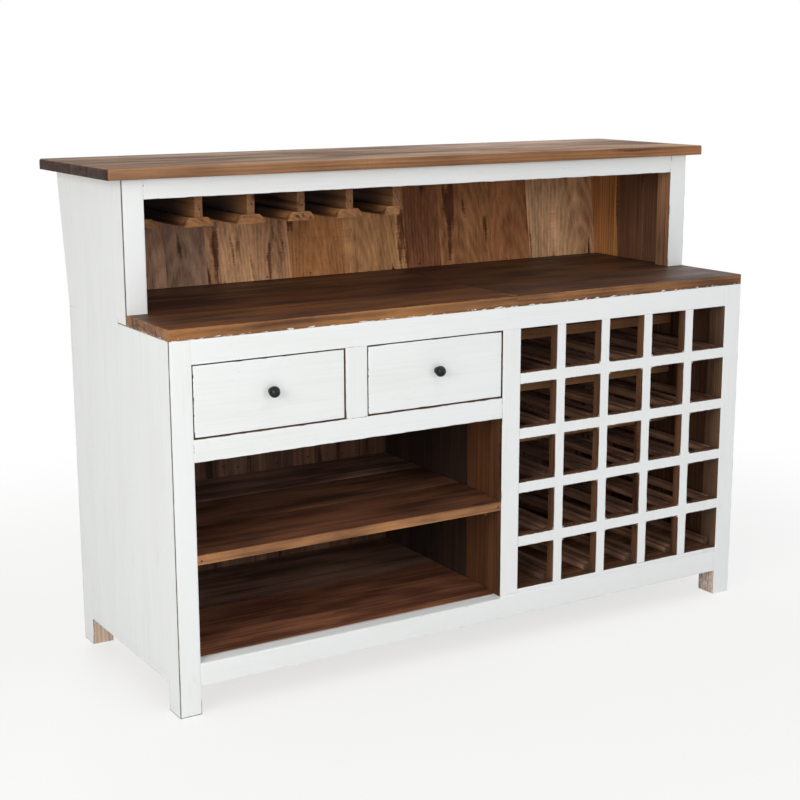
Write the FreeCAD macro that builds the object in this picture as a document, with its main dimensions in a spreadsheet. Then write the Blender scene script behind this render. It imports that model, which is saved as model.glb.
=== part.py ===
import FreeCAD, Part
import os
import re
import Sketcher

# Home bar of reclaimed wood: a painted post-and-rail body with two drawers, an open shelf bay
# and a bottle lattice, a worktop, and a set-back upper part with glass rails under the top.
# X runs from left to right, Y from front to back and Z up, in millimetres.
# Formulas count x from the left side, y from the lower front and z from the floor.

# Driving dimensions in millimetres
sizes = {
    # body
    "body_width": 1500,
    "body_depth": 550,
    "flare_depth": 45,
    "leg_clearance": 62,
    "post_width": 48,
    "post_depth": 55,
    "side_panel_thickness": 22,
    "back_board_thickness": 18,
    # front frame
    "frame_thickness": 28,
    "bottom_rail_height": 53,
    "top_rail_height": 50,
    "drawer_rail_height": 47,
    "drawer_opening_height": 152,
    "drawer_stile_width": 52,
    "shelf_bay_width": 748,
    "tenon_length": 24,
    "tenon_thickness": 10,
    "tenon_shoulder": 9,
    "mortise_end_gap": 1,
    # worktop, upper part and top
    "worktop_height": 807,
    "worktop_thickness": 23,
    "worktop_joint_shift": 25,
    "upper_setback": 214,
    "upper_stile_depth": 48,
    "upper_rail_height": 42,
    "top_height": 1107,
    "top_thickness": 23,
    "top_end_overhang": 36,
    "top_front_overhang": 20,
    "top_back_overhang": 10,
    "top_corner_radius": 6,
    # inside panels and shelf
    "partition_thickness": 20,
    "bottom_panel_thickness": 18,
    "shelf_height": 341,
    "shelf_thickness": 20,
    "cleat_width": 22,
    "cleat_height": 25,
    # bottle rack
    "rack_sill_height": 10,
    "lattice_bar_width": 26,
    "lattice_thickness": 22,
    "runner_height": 18,
    "runner_reach": 16,
    "runner_seat": 6,
    "stop_rail_setback": 225,
    "stop_rail_lift": 26,
    "cross_rail_height": 24,
    "cross_rail_thickness": 22,
    # glass rails
    "glass_rail_first": 182,
    "glass_rail_pitch": 121.5,
    "glass_web_thickness": 18,
    "glass_flange_width": 67,
    "glass_flange_thickness": 20,
    "glass_flange_bevel": 12,
    "glass_half_flange_reach": 48,
    # drawers
    "drawer_front_gap": 2.5,
    "drawer_front_thickness": 20,
    "drawer_box_inset": 6,
    "drawer_back_clearance": 82,
    "drawer_box_height": 128,
    "drawer_board_thickness": 12,
    "drawer_bottom_thickness": 6,
    "drawer_groove_depth": 5,
    "drawer_groove_lift": 9,
    "drawer_slide_gap": 0.4,
    "drawer_runner_height": 20,
    "drawer_runner_reach": 18,
    "drawer_guide_height": 16,
    "drawer_guide_gap": 1,
    # knobs
    "knob_diameter": 24,
    "knob_projection": 26,
    "knob_neck_diameter": 10,
    "knob_base_diameter": 15,
    "knob_base_thickness": 2.5,
    "knob_stud_diameter": 6,
    "knob_stud_gap": 0.3,
    "knob_lift": 5,
    # how far a cutting tool runs past the wood
    "overrun": 10,
}

rack_columns = 5
rack_rows = 5
glass_rail_count = 5

# How much of the room between worktop and top the webs of the glass rails take
glass_web_share = 0.318

# Board edges as shares of the width or depth that the boards fill
lower_board_shares = (
    0, 0.07, 0.14, 0.2, 0.3, 0.355, 0.425, 0.495, 0.56, 0.64, 0.72, 0.79, 0.86, 0.93, 1)
upper_board_shares = (0, 0.073, 0.144, 0.214, 0.296, 0.363, 0.468, 0.589, 0.659, 0.768, 0.85, 1)
partition_board_shares = (0, 0.22, 0.465, 0.77, 1)
side_front_board_shares = (0, 0.46, 1)
top_board_shares = (0, 0.27, 0.52, 0.76, 1)
shelf_board_shares = (0, 0.36, 0.68, 1)

# Sizes that follow from the driving ones
derived = {
    "middle_x": "body_width / 2",
    "middle_y": "(body_depth + flare_depth + top_back_overhang - knob_projection) / 2",
    "right_post_left": "body_width - post_width",
    "side_inner_left": "side_panel_thickness",
    "side_inner_right": "body_width - side_panel_thickness",
    "back_post_front": "body_depth - post_depth",
    "back_boards_front": "body_depth - back_board_thickness",
    "bottom_rail_top": "leg_clearance + bottom_rail_height",
    "worktop_underside": "worktop_height - worktop_thickness",
    "top_underside": "top_height - top_thickness",
    "upper_height": "top_underside - worktop_underside",
    "top_rail_low": "worktop_underside - top_rail_height",
    "drawer_rail_top": "top_rail_low - drawer_opening_height",
    "drawer_rail_low": "drawer_rail_top - drawer_rail_height",
    "bay_stile_left": "post_width + shelf_bay_width",
    "bay_stile_right": "bay_stile_left + post_width",
    "drawer_opening_width": "(shelf_bay_width - drawer_stile_width) / 2",
    "drawer_stile_left": "post_width + drawer_opening_width",
    "drawer_stile_right": "drawer_stile_left + drawer_stile_width",
    "tenon_setback": "(frame_thickness - tenon_thickness) / 2",
    "partition_left": "bay_stile_left + (post_width - partition_thickness) / 2",
    "partition_right": "partition_left + partition_thickness",
    "upper_stile_back": "upper_setback + upper_stile_depth",
    "upper_rail_low": "top_underside - upper_rail_height",
    "worktop_joint": "partition_left + worktop_joint_shift",
    "rack_floor": "bottom_rail_top + rack_sill_height",
    "rack_width": "right_post_left - bay_stile_right",
    "rack_height": "top_rail_low - rack_floor",
    "cell_width": f"(rack_width - lattice_bar_width * {rack_columns - 1}) / {rack_columns}",
    "cell_height": f"(rack_height - lattice_bar_width * {rack_rows - 1}) / {rack_rows}",
    "column_pitch": "cell_width + lattice_bar_width",
    "row_pitch": "cell_height + lattice_bar_width",
    "glass_rail_front": "upper_setback + frame_thickness",
    "glass_web_height": f"(top_underside - worktop_height) * {glass_web_share}",
    "glass_flange_low": "top_underside - glass_web_height - glass_flange_thickness",
    "drawer_front_width": "drawer_opening_width - drawer_front_gap * 2",
    "drawer_front_height": "drawer_opening_height - drawer_front_gap * 2",
    "drawer_box_width": "drawer_opening_width - drawer_box_inset * 2",
    "drawer_box_back": "back_boards_front - drawer_back_clearance",
    "drawer_box_low": "drawer_rail_top + drawer_slide_gap",
    "drawer_bottom_low": "drawer_box_low + drawer_groove_lift",
    "knob_height": "drawer_rail_top + drawer_opening_height / 2 + knob_lift",
}

doc = FreeCAD.newDocument("HomeBar")
sheet = doc.addObject("Spreadsheet::Sheet", "Dimensions")
for row, (size_name, value) in enumerate(sizes.items(), 1):
    sheet.set(f"A{row}", str(value))
    sheet.setAlias(f"A{row}", size_name)
doc.recompute()

pieces = []
mortises = {}


def tied(formula):
    # A formula's names spelled out as cells of the sheet
    def spell(match):
        word = match.group()
        if word in derived:
            return "(" + tied(derived[word]) + ")"
        return "Dimensions." + word if word in sizes else word
    return re.sub(r"[a-z][a-z_]*", spell, formula)


def number(formula):
    return float(sheet.evalExpression(tied(formula)))


def framed(corner):
    # From the left front corner on the floor to the middle of the part's footprint
    x, y, z = corner
    return f"{x} - middle_x", f"{y} - middle_y", z


def place(thing, corner):
    for axis, formula in zip("xyz", framed(corner)):
        thing.setExpression("Placement.Base." + axis, tied(formula))


def keep(thing, label):
    # A finished sub-part; its label names its file
    thing.Label = label
    pieces.append(thing)
    return thing


def block(name, corner, extent):
    box = doc.addObject("Part::Box", name)
    for side, formula in zip(("Length", "Width", "Height"), extent):
        box.setExpression(side, tied(formula))
    place(box, corner)
    return box


def span_block(name, x_span, y_span, z_span):
    # A block between pairs of formulas
    spans = (x_span, y_span, z_span)
    extent = [f"{high} - ({low})" for low, high in spans]
    return block(name, [low for low, high in spans], extent)


def fuse(name, parts):
    union = doc.addObject("Part::MultiFuse", name)
    union.Shapes = parts
    union.Refine = True
    return union


def cut(name, base, tools):
    difference = doc.addObject("Part::Cut", name)
    difference.Base = base
    difference.Tool = tools[0] if len(tools) == 1 else fuse(name + "_tools", tools)
    return difference


def common(name, base, tool):
    overlap = doc.addObject("Part::Common", name)
    overlap.Base = base
    overlap.Tool = tool
    return overlap


def group(name, parts):
    compound = doc.addObject("Part::Compound", name + "_group")
    compound.Links = parts
    return keep(compound, name)


def origin_plane(body, role):
    return next(plane for plane in body.Origin.OriginFeatures if plane.Role == role)


def new_body(name, corner):
    body = doc.addObject("PartDesign::Body", name)
    place(body, corner)
    return body


def new_sketch(body, name, role):
    sketch = body.newObject("Sketcher::SketchObject", name)
    sketch.AttachmentSupport = (origin_plane(body, role), [""])
    sketch.MapMode = "FlatFace"
    return sketch


def hold_point(sketch, geometry, end, point):
    # Ties a point to the sketch's origin by two formulas
    axes = (("DistanceX", -2), ("DistanceY", -1))
    for (kind, axis), formula in zip(axes, point):
        if formula == "0":
            sketch.addConstraint(Sketcher.Constraint("PointOnObject", geometry, end, axis))
            continue
        size = Sketcher.Constraint(kind, -1, 1, geometry, end, number(formula))
        index = sketch.addConstraint(size)
        sketch.setExpression(f"Constraints[{index}]", tied(formula))


def outline(body, name, role, points):
    # A closed outline of straight lines through points given as formulas
    sketch = new_sketch(body, name, role)
    corners = [FreeCAD.Vector(number(u), number(v), 0) for u, v in points]
    for start, end in zip(corners, corners[1:] + corners[:1]):
        sketch.addGeometry(Part.LineSegment(start, end))
    for index, point in enumerate(points):
        following = (index + 1) % len(points)
        sketch.addConstraint(Sketcher.Constraint("Coincident", index, 2, following, 1))
        hold_point(sketch, index, 1, point)
    return sketch


def pad(body, name, sketch, length, backwards=False):
    solid = body.newObject("PartDesign::Pad", name)
    solid.Profile = sketch
    solid.setExpression("Length", tied(length))
    solid.Reversed = backwards
    return solid


def profile_body(name, role, corner, points, length, backwards=False):
    body = new_body(name, corner)
    sketch = outline(body, name + "_outline", role, points)
    pad(body, name + "_pad", sketch, length, backwards)
    return body


def framed_rail(name, x_span, z_span, front, hosts):
    # A rail along X with a tenon at each end, and its mortises in the two hosts
    left, right = x_span
    low, high = z_span
    tenon_y = (f"{front} + tenon_setback", f"{front} + tenon_setback + tenon_thickness")
    tenon_z = (f"{low} + tenon_shoulder", f"{high} - tenon_shoulder")
    rail = span_block(name + "_rail", x_span, (front, f"{front} + frame_thickness"), z_span)
    tenon_x = (f"{left} - tenon_length", f"{right} + tenon_length")
    tenons = span_block(name + "_tenons", tenon_x, tenon_y, tenon_z)
    mortise_x = (f"{left} - tenon_length - mortise_end_gap", f"{right} + tenon_length + mortise_end_gap")
    mortise = span_block(name + "_mortises", mortise_x, tenon_y, tenon_z)
    for host in hosts:
        mortises.setdefault(host, []).append(mortise)
    return fuse(name + "_tenoned", [rail, tenons])


def framed_stile(name, x_span, z_span, depth, hosts):
    # A stile along Z with a tenon at each end, and its mortises in the rails below and above
    left, right = x_span
    low, high = z_span
    tenon_x = (f"{left} + tenon_shoulder", f"{right} - tenon_shoulder")
    tenon_y = ("tenon_setback", "tenon_setback + tenon_thickness")
    stile = span_block(name + "_stile", x_span, ("0", depth), z_span)
    tenon_z = (f"{low} - tenon_length", f"{high} + tenon_length")
    tenons = span_block(name + "_tenons", tenon_x, tenon_y, tenon_z)
    mortise_z = (f"{low} - tenon_length - mortise_end_gap", f"{high} + tenon_length + mortise_end_gap")
    mortise = span_block(name + "_mortises", tenon_x, tenon_y, mortise_z)
    for host in hosts:
        mortises.setdefault(host, []).append(mortise)
    return fuse(name + "_tenoned", [stile, tenons])


def boards(name, shares, start, end, make_board):
    # Boards side by side between the shares of a stretch
    edges = [f"{start} + ({end} - ({start})) * {share}" for share in shares]
    made = []
    for index, span in enumerate(zip(edges, edges[1:]), 1):
        made.append(make_board(f"{name}_{index}", span))
    return group(name, made)


# Posts: square legs at the four corners, up to the worktop
post_places = {
    "front_left_post": ("0", "0"),
    "front_right_post": ("right_post_left", "0"),
    "back_left_post": ("0", "back_post_front"),
    "back_right_post": ("right_post_left", "back_post_front"),
}
frame_blanks = {}
post_extent = ("post_width", "post_depth", "worktop_underside")
for name, (x, y) in post_places.items():
    frame_blanks[name] = block(name + "_blank", (x, y, "0"), post_extent)

# Front frame: rails and stiles joined by mortise and tenon
front_posts = ("front_left_post", "front_right_post")
post_to_post = ("post_width", "right_post_left")
frame_blanks["front_bottom_rail"] = framed_rail(
    "front_bottom_rail", post_to_post, ("leg_clearance", "bottom_rail_top"), "0", front_posts)
frame_blanks["front_top_rail"] = framed_rail(
    "front_top_rail", post_to_post, ("top_rail_low", "worktop_underside"), "0", front_posts)
frame_blanks["drawer_rail"] = framed_rail(
    "drawer_rail", ("post_width", "bay_stile_left"), ("drawer_rail_low", "drawer_rail_top"), "0",
    ("front_left_post", "bay_stile"))
frame_blanks["bay_stile"] = framed_stile(
    "bay_stile", ("bay_stile_left", "bay_stile_right"), ("bottom_rail_top", "top_rail_low"), "post_depth",
    ("front_bottom_rail", "front_top_rail"))
frame_blanks["drawer_stile"] = framed_stile(
    "drawer_stile", ("drawer_stile_left", "drawer_stile_right"), ("drawer_rail_top", "top_rail_low"),
    "frame_thickness", ("drawer_rail", "front_top_rail"))

# Upper front frame, set back from the worktop's edge
upper_stile_places = {"upper_left_stile": "0", "upper_right_stile": "right_post_left"}
for name, x in upper_stile_places.items():
    frame_blanks[name] = block(
        name + "_blank", (x, "upper_setback", "worktop_underside"),
        ("post_width", "upper_stile_depth", "upper_height"))
frame_blanks["upper_front_rail"] = framed_rail(
    "upper_front_rail", post_to_post, ("upper_rail_low", "top_underside"), "upper_setback",
    tuple(upper_stile_places))

for name, blank in frame_blanks.items():
    if name in mortises:
        blank = cut(name + "_mortised", blank, mortises[name])
    keep(blank, name)

# Side panels: short boards in front of the step, tall flared boards behind it
side_places = {"left": "0", "right": "side_inner_right"}
for side, x in side_places.items():
    x_span = (x, f"{x} + side_panel_thickness")
    z_span = ("leg_clearance", "worktop_underside")

    def side_board(name, y_span):
        return span_block(name, x_span, y_span, z_span)

    boards(
        side + "_side_front_boards", side_front_board_shares, "post_depth", "upper_stile_back", side_board)
    flared_outline = (
        ("0", "0"),
        ("back_post_front - upper_stile_back", "0"),
        ("back_post_front - upper_stile_back", "worktop_underside - leg_clearance"),
        ("body_depth - upper_stile_back", "worktop_underside - leg_clearance"),
        ("body_depth + flare_depth - upper_stile_back", "top_underside - leg_clearance"),
        ("0", "top_underside - leg_clearance"),
    )
    rear = profile_body(
        side + "_side_rear", "YZ_Plane", (x, "upper_stile_back", "leg_clearance"), flared_outline,
        "side_panel_thickness")
    keep(rear, side + "_side_rear_panel")

# Back boards: upright up to the worktop, leaning outwards above it
def lower_back_board(name, x_span):
    y_span = ("back_boards_front", "body_depth")
    return span_block(name, x_span, y_span, ("leg_clearance", "worktop_underside"))


boards("lower_back_boards", lower_board_shares, "post_width", "right_post_left", lower_back_board)

leaning_outline = (
    ("0", "0"),
    ("back_board_thickness", "0"),
    ("back_board_thickness + flare_depth", "upper_height"),
    ("flare_depth", "upper_height"),
)
leaning_slab = profile_body(
    "leaning_back", "YZ_Plane", ("side_inner_left", "back_boards_front", "worktop_underside"),
    leaning_outline, "side_inner_right - side_inner_left")


def upper_back_board(name, x_span):
    cutter = span_block(
        name + "_cutter", x_span, ("back_boards_front - overrun", "body_depth + flare_depth + overrun"),
        ("worktop_underside - overrun", "top_underside + overrun"))
    return common(name, leaning_slab, cutter)


boards("upper_back_boards", upper_board_shares, "side_inner_left", "side_inner_right", upper_back_board)

# Inside panels
def partition_board(name, y_span):
    x_span = ("partition_left", "partition_right")
    return span_block(name, x_span, y_span, ("leg_clearance", "worktop_underside"))


boards("partition_panel", partition_board_shares, "post_depth", "back_boards_front", partition_board)

# Notches where floors and shelf go round the posts, from below the rack floor to the worktop
all_heights = ("0 - overrun", "worktop_underside")
post_notches = {}
for name, (x, y) in post_places.items():
    x_span = (x, f"{x} + post_width")
    post_notches[name] = span_block(name + "_notch", x_span, (y, f"{y} + post_depth"), all_heights)
bay_notch = span_block(
    "bay_stile_notch", ("bay_stile_left", "bay_stile_right"), ("0", "post_depth"),
    ("bottom_rail_top", "top_rail_low"))

bottom_left = span_block(
    "bottom_left", ("side_inner_left", "partition_left"), ("frame_thickness", "back_boards_front"),
    ("bottom_rail_top - bottom_panel_thickness", "bottom_rail_top"))
left_posts = [post_notches["front_left_post"], post_notches["back_left_post"]]
keep(cut("bottom_left_notched", bottom_left, left_posts), "bottom_panel_left")

bottom_right = span_block(
    "bottom_right", ("partition_right", "side_inner_right"), ("frame_thickness", "back_boards_front"),
    ("rack_floor - bottom_panel_thickness", "rack_floor"))
right_posts = [post_notches["front_right_post"], post_notches["back_right_post"], bay_notch]
keep(cut("bottom_right_notched", bottom_right, right_posts), "bottom_panel_right")


def shelf_board(name, y_span):
    board = span_block(
        name + "_blank", ("side_inner_left", "partition_left"), y_span,
        ("shelf_height - shelf_thickness", "shelf_height"))
    return cut(name, board, left_posts + [bay_notch])


boards("shelf", shelf_board_shares, "0", "back_boards_front", shelf_board)

cleat_spans = {
    "left": ("side_inner_left", "side_inner_left + cleat_width"),
    "right": ("partition_left - cleat_width", "partition_left"),
}
shelf_cleats = []
for side, x_span in cleat_spans.items():
    shelf_cleats.append(span_block(
        f"shelf_cleat_{side}", x_span, ("post_depth", "back_post_front"),
        ("shelf_height - shelf_thickness - cleat_height", "shelf_height - shelf_thickness")))
group("shelf_cleats", shelf_cleats)

# Worktop: two boards with their joint near the bay stile, notched round the upper part
worktop_outline = (
    ("0", "0"),
    ("back_boards_front", "0"),
    ("back_boards_front + flare_depth * worktop_thickness / upper_height", "worktop_thickness"),
    ("0", "worktop_thickness"),
)
worktop_spans = {"left": ("0", "worktop_joint"), "right": ("worktop_joint", "body_width")}
notch_spans = {
    "left": (("0 - overrun", "post_width"), ("0 - overrun", "side_inner_left")),
    "right": (("right_post_left", "body_width + overrun"), ("side_inner_right", "body_width + overrun")),
}
notch_heights = ("worktop_underside - overrun", "worktop_height + overrun")
for side, (left, right) in worktop_spans.items():
    slab = profile_body(
        f"worktop_{side}_slab", "YZ_Plane", (left, "0", "worktop_underside"), worktop_outline,
        f"{right} - ({left})")
    stile_span, panel_span = notch_spans[side]
    stile_notch = span_block(
        f"worktop_{side}_stile_notch", stile_span, ("upper_setback", "upper_stile_back"), notch_heights)
    panel_notch = span_block(
        f"worktop_{side}_panel_notch", panel_span, ("upper_stile_back", "body_depth + overrun"),
        notch_heights)
    keep(cut(f"worktop_{side}_notched", slab, [stile_notch, panel_notch]), f"worktop_{side}")

# Top: lengthwise boards with rounded outer corners
top_width = "body_width + top_end_overhang * 2"
top_front = "upper_setback - top_front_overhang"
top_back = "body_depth + flare_depth + top_back_overhang"
top_rectangle = (
    ("0", "0"),
    (top_width, "0"),
    (top_width, f"{top_back} - ({top_front})"),
    ("0", f"{top_back} - ({top_front})"),
)
top_slab = profile_body(
    "top_slab", "XY_Plane", ("0 - top_end_overhang", top_front, "top_underside"), top_rectangle,
    "top_thickness")
doc.recompute()
top_pad = top_slab.Tip
upright_edges = []
for index, edge in enumerate(top_pad.Shape.Edges, 1):
    start, end = [vertex.Point for vertex in edge.Vertexes]
    if abs(end.z - start.z) > abs(end.x - start.x) + abs(end.y - start.y):
        upright_edges.append(f"Edge{index}")
rounding = top_slab.newObject("PartDesign::Fillet", "top_corners")
rounding.Base = (top_pad, upright_edges)
rounding.setExpression("Radius", tied("top_corner_radius"))
top_slab.Tip = rounding


def top_board(name, y_span):
    x_span = ("0 - top_end_overhang - overrun", "body_width + top_end_overhang + overrun")
    z_span = ("top_underside - overrun", "top_height + overrun")
    return common(name, top_slab, span_block(name + "_cutter", x_span, y_span, z_span))


boards("top_boards", top_board_shares, top_front, top_back, top_board)

# Bottle lattice: uprights and bars lapped half into each other
keep(span_block(
    "sill_bar", ("bay_stile_right", "right_post_left"), ("0", "frame_thickness"),
    ("bottom_rail_top", "rack_floor")), "lattice_sill")


def lapped_bar(name, corner, outer, notch, direction, pitch, count, from_front):
    # A bar with half-depth notches, one for each bar that crosses it
    body = new_body(name + "_body", corner)
    sketch = outline(body, name + "_outline", "XZ_Plane", outer)
    pad(body, name + "_pad", sketch, "lattice_thickness", backwards=True)
    doc.recompute()
    whole = body.Shape.Volume
    lap_sketch = outline(body, name + "_lap_outline", "XZ_Plane", notch)
    if not from_front:
        lap_sketch.setExpression("AttachmentOffset.Base.z", tied("0 - lattice_thickness"))
    lap = body.newObject("PartDesign::Pocket", name + "_lap")
    lap.Profile = lap_sketch
    lap.setExpression("Length", tied("lattice_thickness / 2"))
    lap.Reversed = not from_front
    doc.recompute()
    if not body.Shape.Volume < whole:
        raise RuntimeError(f"the lap of {name} cuts nothing")
    laps = body.newObject("PartDesign::LinearPattern", name + "_laps")
    laps.Originals = [lap]
    laps.Direction = (sketch, [direction])
    laps.Mode = "Spacing"
    laps.setExpression("Offset", tied(pitch))
    laps.Occurrences = count
    body.Tip = laps
    return keep(body, name)


def rectangle(u_span, v_span):
    (left, right), (low, high) = u_span, v_span
    return (left, low), (right, low), (right, high), (left, high)


for column in range(1, rack_columns):
    upright_left = f"bay_stile_right + column_pitch * {column} - lattice_bar_width"
    lapped_bar(
        f"lattice_upright_{column}", (upright_left, "0", "rack_floor"),
        rectangle(("0", "lattice_bar_width"), ("0", "rack_height")),
        rectangle(("0", "lattice_bar_width"), ("cell_height", "row_pitch")),
        "V_Axis", "row_pitch", rack_rows - 1, from_front=False)
for row in range(1, rack_rows):
    bar_low = f"rack_floor + row_pitch * {row} - lattice_bar_width"
    lapped_bar(
        f"lattice_bar_{row}", ("bay_stile_right", "0", bar_low),
        rectangle(("0", "rack_width"), ("0", "lattice_bar_width")),
        rectangle(("cell_width", "column_pitch"), ("0", "lattice_bar_width")),
        "H_Axis", "column_pitch", rack_columns - 1, from_front=True)

# Bottle runners: two in each cell, from the lattice to the back, on the floor in the lowest row
for row in range(rack_rows):
    row_floor = f"rack_floor + row_pitch * {row}"
    runner_low = row_floor if row == 0 else f"{row_floor} - runner_height"
    runners = []
    for column in range(rack_columns):
        cell_left = f"bay_stile_right + column_pitch * {column}"
        cell_right = f"{cell_left} + cell_width"
        seat_left = "0" if column == 0 else "runner_seat"
        seat_right = "0" if column == rack_columns - 1 else "runner_seat"
        runner_spans = {
            "left": (f"{cell_left} - {seat_left}", f"{cell_left} + runner_reach"),
            "right": (f"{cell_right} - runner_reach", f"{cell_right} + {seat_right}"),
        }
        for side, x_span in runner_spans.items():
            runners.append(span_block(
                f"runner_{row}_{column}_{side}", x_span, ("lattice_thickness", "back_boards_front"),
                (runner_low, f"{runner_low} + runner_height")))
    group(f"bottle_runners_{row + 1}", runners)

# Cross rails: a stop for the bottles in each row, and a ledge under the runners at the back
cross_rails = []
for row in range(rack_rows):
    row_floor = f"rack_floor + row_pitch * {row}"
    stop_low = f"{row_floor} + stop_rail_lift"
    cross_rails.append(span_block(
        f"stop_rail_{row}", ("partition_right", "side_inner_right"),
        ("stop_rail_setback", "stop_rail_setback + cross_rail_thickness"),
        (stop_low, f"{stop_low} + cross_rail_height")))
    if row > 0:
        ledge_top = f"{row_floor} - runner_height"
        cross_rails.append(span_block(
            f"ledge_rail_{row}", ("partition_right", "right_post_left"),
            ("back_boards_front - cross_rail_thickness", "back_boards_front"),
            (f"{ledge_top} - cross_rail_height", ledge_top)))
group("bottle_cross_rails", cross_rails)

# Glass rails: a web under the top carries a flange, bevelled above on its free edges, and glasses hang between
def glass_rail(name, front, web_left, flange_left, flange_width, free_edges):
    web = span_block(
        name + "_web", (web_left, f"{web_left} + glass_web_thickness"), (front, "back_boards_front"),
        ("top_underside - glass_web_height", "top_underside"))
    bevel_low = "glass_flange_thickness - glass_flange_bevel"
    left_edge = [("0", "glass_flange_thickness")]
    right_edge = [(flange_width, "glass_flange_thickness")]
    if "left" in free_edges:
        left_edge = [("glass_flange_bevel", "glass_flange_thickness"), ("0", bevel_low)]
    if "right" in free_edges:
        right_edge = [(flange_width, bevel_low), (f"{flange_width} - glass_flange_bevel", "glass_flange_thickness")]
    flange_outline = [("0", "0"), (flange_width, "0")] + right_edge + left_edge
    flange = profile_body(
        name + "_flange", "XZ_Plane", (flange_left, front, "glass_flange_low"), flange_outline,
        f"back_boards_front - ({front})", backwards=True)
    group(name, [web, flange])


# The half rail at the side panel reaches to the right, the last rail only to the left
glass_rail(
    "glass_rail_left", "upper_stile_back", "side_inner_left", "side_inner_left",
    "post_width + glass_half_flange_reach - side_inner_left", ["right"])
for index in range(glass_rail_count):
    centre = f"glass_rail_first + glass_rail_pitch * {index}"
    if index < glass_rail_count - 1:
        flange_width, free_edges = "glass_flange_width", ["left", "right"]
    else:
        flange_width, free_edges = "(glass_flange_width + glass_web_thickness) / 2", ["left"]
    glass_rail(
        f"glass_rail_{index + 1}", "glass_rail_front", f"{centre} - glass_web_thickness / 2",
        f"{centre} - glass_flange_width / 2", flange_width, free_edges)

# Drawer runners and guides between the side panel, the drawers and the partition
side_run = ("post_depth", "back_post_front")
middle_run = ("frame_thickness", "back_boards_front")
runner_z = ("drawer_rail_top - drawer_runner_height", "drawer_rail_top")
guide_z = ("drawer_rail_top", "drawer_rail_top + drawer_guide_height")
guide_reach = "drawer_box_inset - drawer_guide_gap"
runner_plan = (
    ("left", ("side_inner_left", "post_width"), side_run, 0, 1),
    ("middle", ("drawer_stile_left", "drawer_stile_right"), middle_run, 1, 1),
    ("right", ("bay_stile_left", "partition_left"), side_run, 1, 0),
)
drawer_runners = []
drawer_guides = []
for side, (left, right), y_span, reach_left, reach_right in runner_plan:
    runner_x = (
        f"{left} - drawer_runner_reach * {reach_left}",
        f"{right} + drawer_runner_reach * {reach_right}",
    )
    guide_x = (
        f"{left} - ({guide_reach}) * {reach_left}",
        f"{right} + ({guide_reach}) * {reach_right}",
    )
    drawer_runners.append(span_block(f"drawer_runner_{side}", runner_x, y_span, runner_z))
    drawer_guides.append(span_block(f"drawer_guide_{side}", guide_x, y_span, guide_z))
group("drawer_runners", drawer_runners)
group("drawer_guides", drawer_guides)


def turned_knob(name, x):
    # Half section of the knob, turned about its own axis: stud, base, neck and ball
    body = new_body(name, (x, "drawer_front_thickness", "knob_height"))
    body.Placement.Rotation = FreeCAD.Rotation(FreeCAD.Vector(0, 0, 1), 180)
    sketch = new_sketch(body, name + "_section", "XY_Plane")
    base_top = "drawer_front_thickness + knob_base_thickness"
    ball_centre = "drawer_front_thickness + knob_projection - knob_diameter / 2"
    neck_top = "(knob_diameter * knob_diameter / 4 - knob_neck_diameter * knob_neck_diameter / 4) ^ 0.5"
    points = (
        ("0", "0"),
        ("knob_stud_diameter / 2", "0"),
        ("knob_stud_diameter / 2", "drawer_front_thickness"),
        ("knob_base_diameter / 2", "drawer_front_thickness"),
        ("knob_base_diameter / 2", base_top),
        ("knob_neck_diameter / 2", base_top),
        ("knob_neck_diameter / 2", f"{ball_centre} - {neck_top}"),
    )
    corners = [FreeCAD.Vector(number(u), number(v), 0) for u, v in points]
    tip = FreeCAD.Vector(0, number("drawer_front_thickness + knob_projection"), 0)
    for start, end in zip(corners, corners[1:]):
        sketch.addGeometry(Part.LineSegment(start, end))
    last = len(points) - 2
    centre = FreeCAD.Vector(0, number(ball_centre), 0)
    side = centre + FreeCAD.Vector(number("knob_diameter / 2"), 0, 0)
    ball = sketch.addGeometry(Part.Arc(corners[-1], side, tip))
    axis = sketch.addGeometry(Part.LineSegment(tip, corners[0]))
    for index, point in enumerate(points[:-1]):
        hold_point(sketch, index, 1, point)
        if index < last:
            sketch.addConstraint(Sketcher.Constraint("Coincident", index, 2, index + 1, 1))
    hold_point(sketch, last, 2, points[-1])
    sketch.addConstraint(Sketcher.Constraint("Coincident", last, 2, ball, 1))
    sketch.addConstraint(Sketcher.Constraint("Coincident", ball, 2, axis, 1))
    sketch.addConstraint(Sketcher.Constraint("Coincident", axis, 2, 0, 1))
    sketch.addConstraint(Sketcher.Constraint("PointOnObject", ball, 3, -2))
    hold_point(sketch, axis, 1, ("0", "drawer_front_thickness + knob_projection"))
    turning = body.newObject("PartDesign::Revolution", name + "_turning")
    turning.Profile = sketch
    turning.ReferenceAxis = (sketch, ["V_Axis"])
    turning.Angle = 360
    return keep(body, name)


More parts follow.
